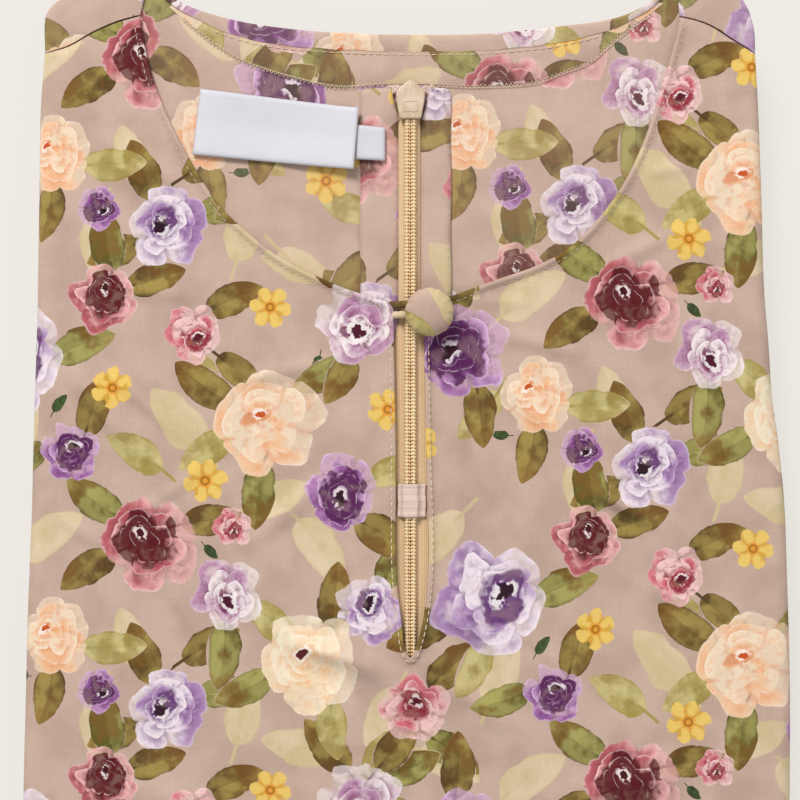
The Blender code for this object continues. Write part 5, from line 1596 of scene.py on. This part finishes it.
def coil_stitches(name, side, material, seed):
    """The row that sews a coil to its tape, along the top of its turns."""
    line = [(ZIP_X + side * COIL_SEAM, y) for y in np.arange(ZIP_LOW + 1.0, SLIDER_LOW, 1.0)]
    line = raised(line, HEIGHT - COIL_BASE + COIL_HEIGHT + 0.02)
    return along_line(name, line, stitch(1.2, 0.30), TOOTH_PITCH, material, (0.10, 0.08), seed)


def zigzag(name, line, material, seed, width=0.9, pitch=1.4):
    """Overlocking along an edge: a thread that goes to and fro, and one that runs along beside it."""
    run = lengths(line)
    places = np.arange(0.0, run[-1], 0.5 * pitch)
    middle = np.column_stack([np.interp(places, run, line[:, i]) for i in (0, 1)])
    uneven = np.random.default_rng(seed).uniform(-0.12, 0.12, len(places))
    swing = width * (np.where(np.arange(len(places)) % 2 == 0, 0.5, -0.5) + uneven)
    level = HEIGHT - FACING_EDGE + 0.10
    path = np.column_stack([moved_in(middle, swing), level + 0.04 * np.sin(9.0 * places)])
    other = moved_in(middle, 0.5 * width)
    second = np.column_stack([other, np.full(len(other), level)])
    points, faces = joined([tube_parts(through(path, 0.35), 0.10, 5), tube_parts(second, 0.09, 5)])
    return add_mesh(name, settled(points), faces, material)


def thread_loops(name, places, material):
    """Loose overlock loops at the cut end of a seam allowance."""
    bodies = []
    for x, y, turn, size in places:
        angle = np.linspace(0.0, 2.0 * math.pi, 14)
        u, v = size * np.cos(angle), 0.45 * size * np.sin(angle)
        c, s = math.cos(turn), math.sin(turn)
        high = HEIGHT + 0.25 + 0.3 * np.sin(angle + turn)
        bodies.append(tube_parts(np.column_stack([x + c * u - s * v, y + s * u + c * v, high]), 0.22, 6))
    points, faces = joined(bodies)
    return add_mesh(name, settled(points), faces, material)


LOOSE_ENDS = (  # x, y, turn, size
    (-3.9, 128.6, 1.2, 1.1), (-4.9, 128.2, 1.7, 1.2), (-5.9, 128.9, 0.9, 0.8),
    (6.4, 128.6, 1.9, 1.1), (7.4, 128.3, 1.4, 1.2), (8.5, 129.0, 2.2, 1.0), (5.4, 128.2, 1.2, 0.9),
)


def understitch(name, neck, side, material, seed):
    """A row through the facing, just below the rolled edge."""
    neck = through(neck, 1.5)
    line = moved_in(neck, side * (roll_width(neck[:, 0]) + 1.1))
    line = line[np.abs(line[:, 0]) < 62.0]
    line = raised(line, HEIGHT - FACING_TOP + 0.04)
    return along_line(name, line, stitch(1.9, 0.13), 2.5, material, (0.05, 0.06), seed)


# %% [markdown]
# Every helper is ready, so the garment is laid out from the printed cloth to the last stitch. The inside
# is the same print, a little paler, because a print is weaker on the back of its cloth. Each colour is
# given as it looks on a screen.

# %% Materials
print_cloth = printed_cloth("printed cloth", 0.0)
inside_cloth = printed_cloth("inside of the cloth", 0.12)
tape_weave = ribbed("zip tape weave", (230, 198, 158), (202, 168, 126), 1500.0, 0.75)
coil_plastic = plastic("coil plastic", (250, 224, 182), (232, 200, 154), 0.38, 0.15)
slider_plastic = plastic("slider plastic", (216, 196, 172), (200, 176, 150), 0.34, 0.3)
ribbon_weave = ribbed("ribbon weave", (226, 206, 194), (206, 180, 166), 2200.0, 0.5, True)
label_satin = satin("label satin", (209, 208, 215), (197, 197, 205), 330.0, 0.5)
seam_thread = thread("seam thread", (242, 224, 198), (216, 192, 162))
neck_thread = thread("neck thread", (222, 196, 176), (192, 164, 146))
lock_thread = thread("overlock thread", (234, 214, 190), (210, 186, 160))
zip_thread = thread("zip thread", (252, 230, 192), (234, 206, 164))

# %% Front, back and folds
front = front_panel(print_cloth)
left_edges = (LEFT_BACK_NECK, LEFT_SHOULDER, LEFT_SEAM)
left_turn = rolled_edge("back_left_turn", *left_edges, LEFT, inside_cloth)
right_edges = (RIGHT_BACK_NECK, RIGHT_SHOULDER, RIGHT_SEAM)
right_turn = rolled_edge("back_right_turn", *right_edges, RIGHT, inside_cloth)
left_back = back_inside("back_left_inside", LEFT_BACK_NECK, LEFT_SEAM, LEFT_NECK, LEFT, inside_cloth)
right_back = back_inside("back_right_inside", RIGHT_BACK_NECK, RIGHT_SEAM, RIGHT_NECK, RIGHT, inside_cloth)
left_facing = facing("left_facing", LEFT_FACING, LEFT_BACK_NECK, LEFT, inside_cloth)
right_facing = facing("right_facing", RIGHT_FACING, RIGHT_BACK_NECK, RIGHT, inside_cloth)
left_allowance = allowance("left_allowance", TAPE_LEFT, SLIT_TAPE_LEFT, ALLOWANCE_LEFT, inside_cloth)
right_allowance = allowance("right_allowance", TAPE_RIGHT, SLIT_TAPE_RIGHT, ALLOWANCE_RIGHT, inside_cloth)
for piece in (left_turn, right_turn, left_back, right_back, left_facing, right_facing):
    piece.data.set_sharp_from_angle(angle=math.radians(60.0))
tunic = folded_tunic(inside_cloth)
skirt = folded_skirt(inside_cloth)

# %% Zip, labels, button
left_tape = zip_tape("left_tape", ZIP_X - 0.03, TAPE_LEFT, SLIT_TAPE_LEFT, tape_weave)
right_tape = zip_tape("right_tape", ZIP_X + 0.03, TAPE_RIGHT, SLIT_TAPE_RIGHT, tape_weave)
left_coil = coil("left_coil", LEFT, coil_plastic, 3)
right_coil = coil("right_coil", RIGHT, coil_plastic, 4)
slider_body = slider(slider_plastic)
tab = ribbon_tab(ribbon_weave)
neck_label = woven_label("blank_neck_label", NECK_LABEL, NECK_LABEL_BASE, LABEL_LIFT, 0.7, label_satin)
size_tab = woven_label("blank_size_tab", SIZE_TAB, SIZE_TAB_BASE, TAB_LIFT, 0.1, label_satin)
button = covered_button(print_cloth)
loop = cloth_loop(print_cloth)

# %% Sewing
FROM_NECK, FROM_SLIT, PITCH = 2.0, 1.4, 2.3  # how far in the topstitching lies, and its pitch
left_line = moved_in(through(LEFT_NECK, 1.5), LEFT * FROM_NECK)[2:-3]
right_line = moved_in(through(RIGHT_NECK, 1.5), RIGHT * FROM_NECK)[2:-3]
slit_line = moved_in(through(SLIT, 1.2), -FROM_SLIT)
front_sewing = [
    topstitch("left_neck_stitches", left_line, neck_thread, PITCH, 21),
    topstitch("right_neck_stitches", right_line, neck_thread, PITCH, 22),
    topstitch("slit_stitches", slit_line, seam_thread, PITCH, 23),
]
left_facing_sewing = [
    zigzag("left_facing_lock", through(LEFT_FACING, 2.0)[3:-4], lock_thread, 31),
    understitch("left_understitch", LEFT_BACK_NECK, LEFT, seam_thread, 24),
]
right_facing_sewing = [
    zigzag("right_facing_lock", through(RIGHT_FACING, 2.0)[3:-4], lock_thread, 32),
    understitch("right_understitch", RIGHT_BACK_NECK, RIGHT, seam_thread, 25),
]
left_zip_sewing = [coil_stitches("left_coil_stitches", LEFT, zip_thread, 26)]
right_zip_sewing = [
    coil_stitches("right_coil_stitches", RIGHT, zip_thread, 27),
    thread_loops("overlock_ends", LOOSE_ENDS, seam_thread),
]
sewing = front_sewing + left_facing_sewing + right_facing_sewing + left_zip_sewing + right_zip_sewing

# %% [markdown]
# The imported solids only held the places, so each finished piece replaces its solid and rides on the one
# rigid body. The rolled edges and the stitches replace nothing: they come with the piece that they are
# sewn to.

# %% What each piece stands for
for piece, node in (
    (front, "front_panel"),
    (left_back, "back_left"),
    (right_back, "back_right"),
    (left_facing, "back_facing_left"),
    (right_facing, "back_facing_right"),
    (left_allowance, "seam_allowance_left"),
    (right_allowance, "seam_allowance_right"),
    (left_tape, "zip_tape_left"),
    (right_tape, "zip_tape_right"),
    (left_coil, "zip_coil_left"),
    (right_coil, "zip_coil_right"),
    (slider_body, "zip_slider"),
    (tab, "zip_tab"),
    (neck_label, "neck_label"),
    (size_tab, "size_tab"),
    (button, "button"),
    (loop, "button_loop"),
    (tunic, "tunic_folds"),
    (skirt, "skirt_folds"),
):
    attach(piece, "root")
    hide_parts(node)
for piece in [left_turn, right_turn] + sewing:
    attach(piece, "root")


# %% [markdown]
# The garment lies on a plain pale floor under one wide soft light from the upper left and a paler one
# from the lower right. The camera looks straight down at it.

# %% Floor, light and camera
scene = bpy.context.scene
scene.view_settings.view_transform = "Standard"
FLOOR_DARK, FLOOR_LIGHT, GLOW = (0.13, 0.128, 0.122), (0.16, 0.158, 0.151), (0.80, 0.775, 0.725, 1.0)
tree = Tree("floor")
mottled = tree.mix(tree.noise(tree.place(), 3.0, 3.0), FLOOR_DARK, FLOOR_LIGHT)
for name, value in (
    ("Base Color", mottled),
    ("Roughness", 0.9),
    ("Emission Color", GLOW),
    ("Emission Strength", 0.86),
):
    tree.feed(tree.shader.inputs[name], value)
mesh = bpy.data.meshes.new("floor")
mesh.from_pydata([(-3, -3, 0), (3, -3, 0), (3, 3, 0), (-3, 3, 0)], [], [(0, 1, 2, 3)])
mesh.materials.append(tree.material)
floor = linked("floor", mesh)


AIM = Vector((0.0, 0.02, 0.0))


def area_light(name, place, size, watts, colour):
    data = bpy.data.lights.new(name, "AREA")
    data.shape, data.size, data.energy, data.color = "DISK", size, watts, colour
    light = linked(name, data)
    light.location = place
    light.rotation_euler = (AIM - Vector(place)).to_track_quat("-Z", "Y").to_euler()


area_light("main light", (-1.0, 2.2, 2.3), 1.3, 97.0, (1.0, 0.99, 0.975))
area_light("fill light", (1.8, -1.6, 2.4), 1.8, 16.0, (0.98, 0.985, 1.0))
world = bpy.data.worlds.new("studio")
scene.world = world
world.use_nodes = True
background = world.node_tree.nodes["Background"]
background.inputs["Color"].default_value = (1.0, 0.99, 0.97, 1.0)
background.inputs["Strength"].default_value = 0.42

camera = linked("camera", bpy.data.cameras.new("camera"))
camera.data.lens, camera.data.sensor_width = 70.0, 36.0
camera.data.clip_start = 0.01
camera.location = (-0.0021, 0.02805, 0.5278)
scene.camera = camera
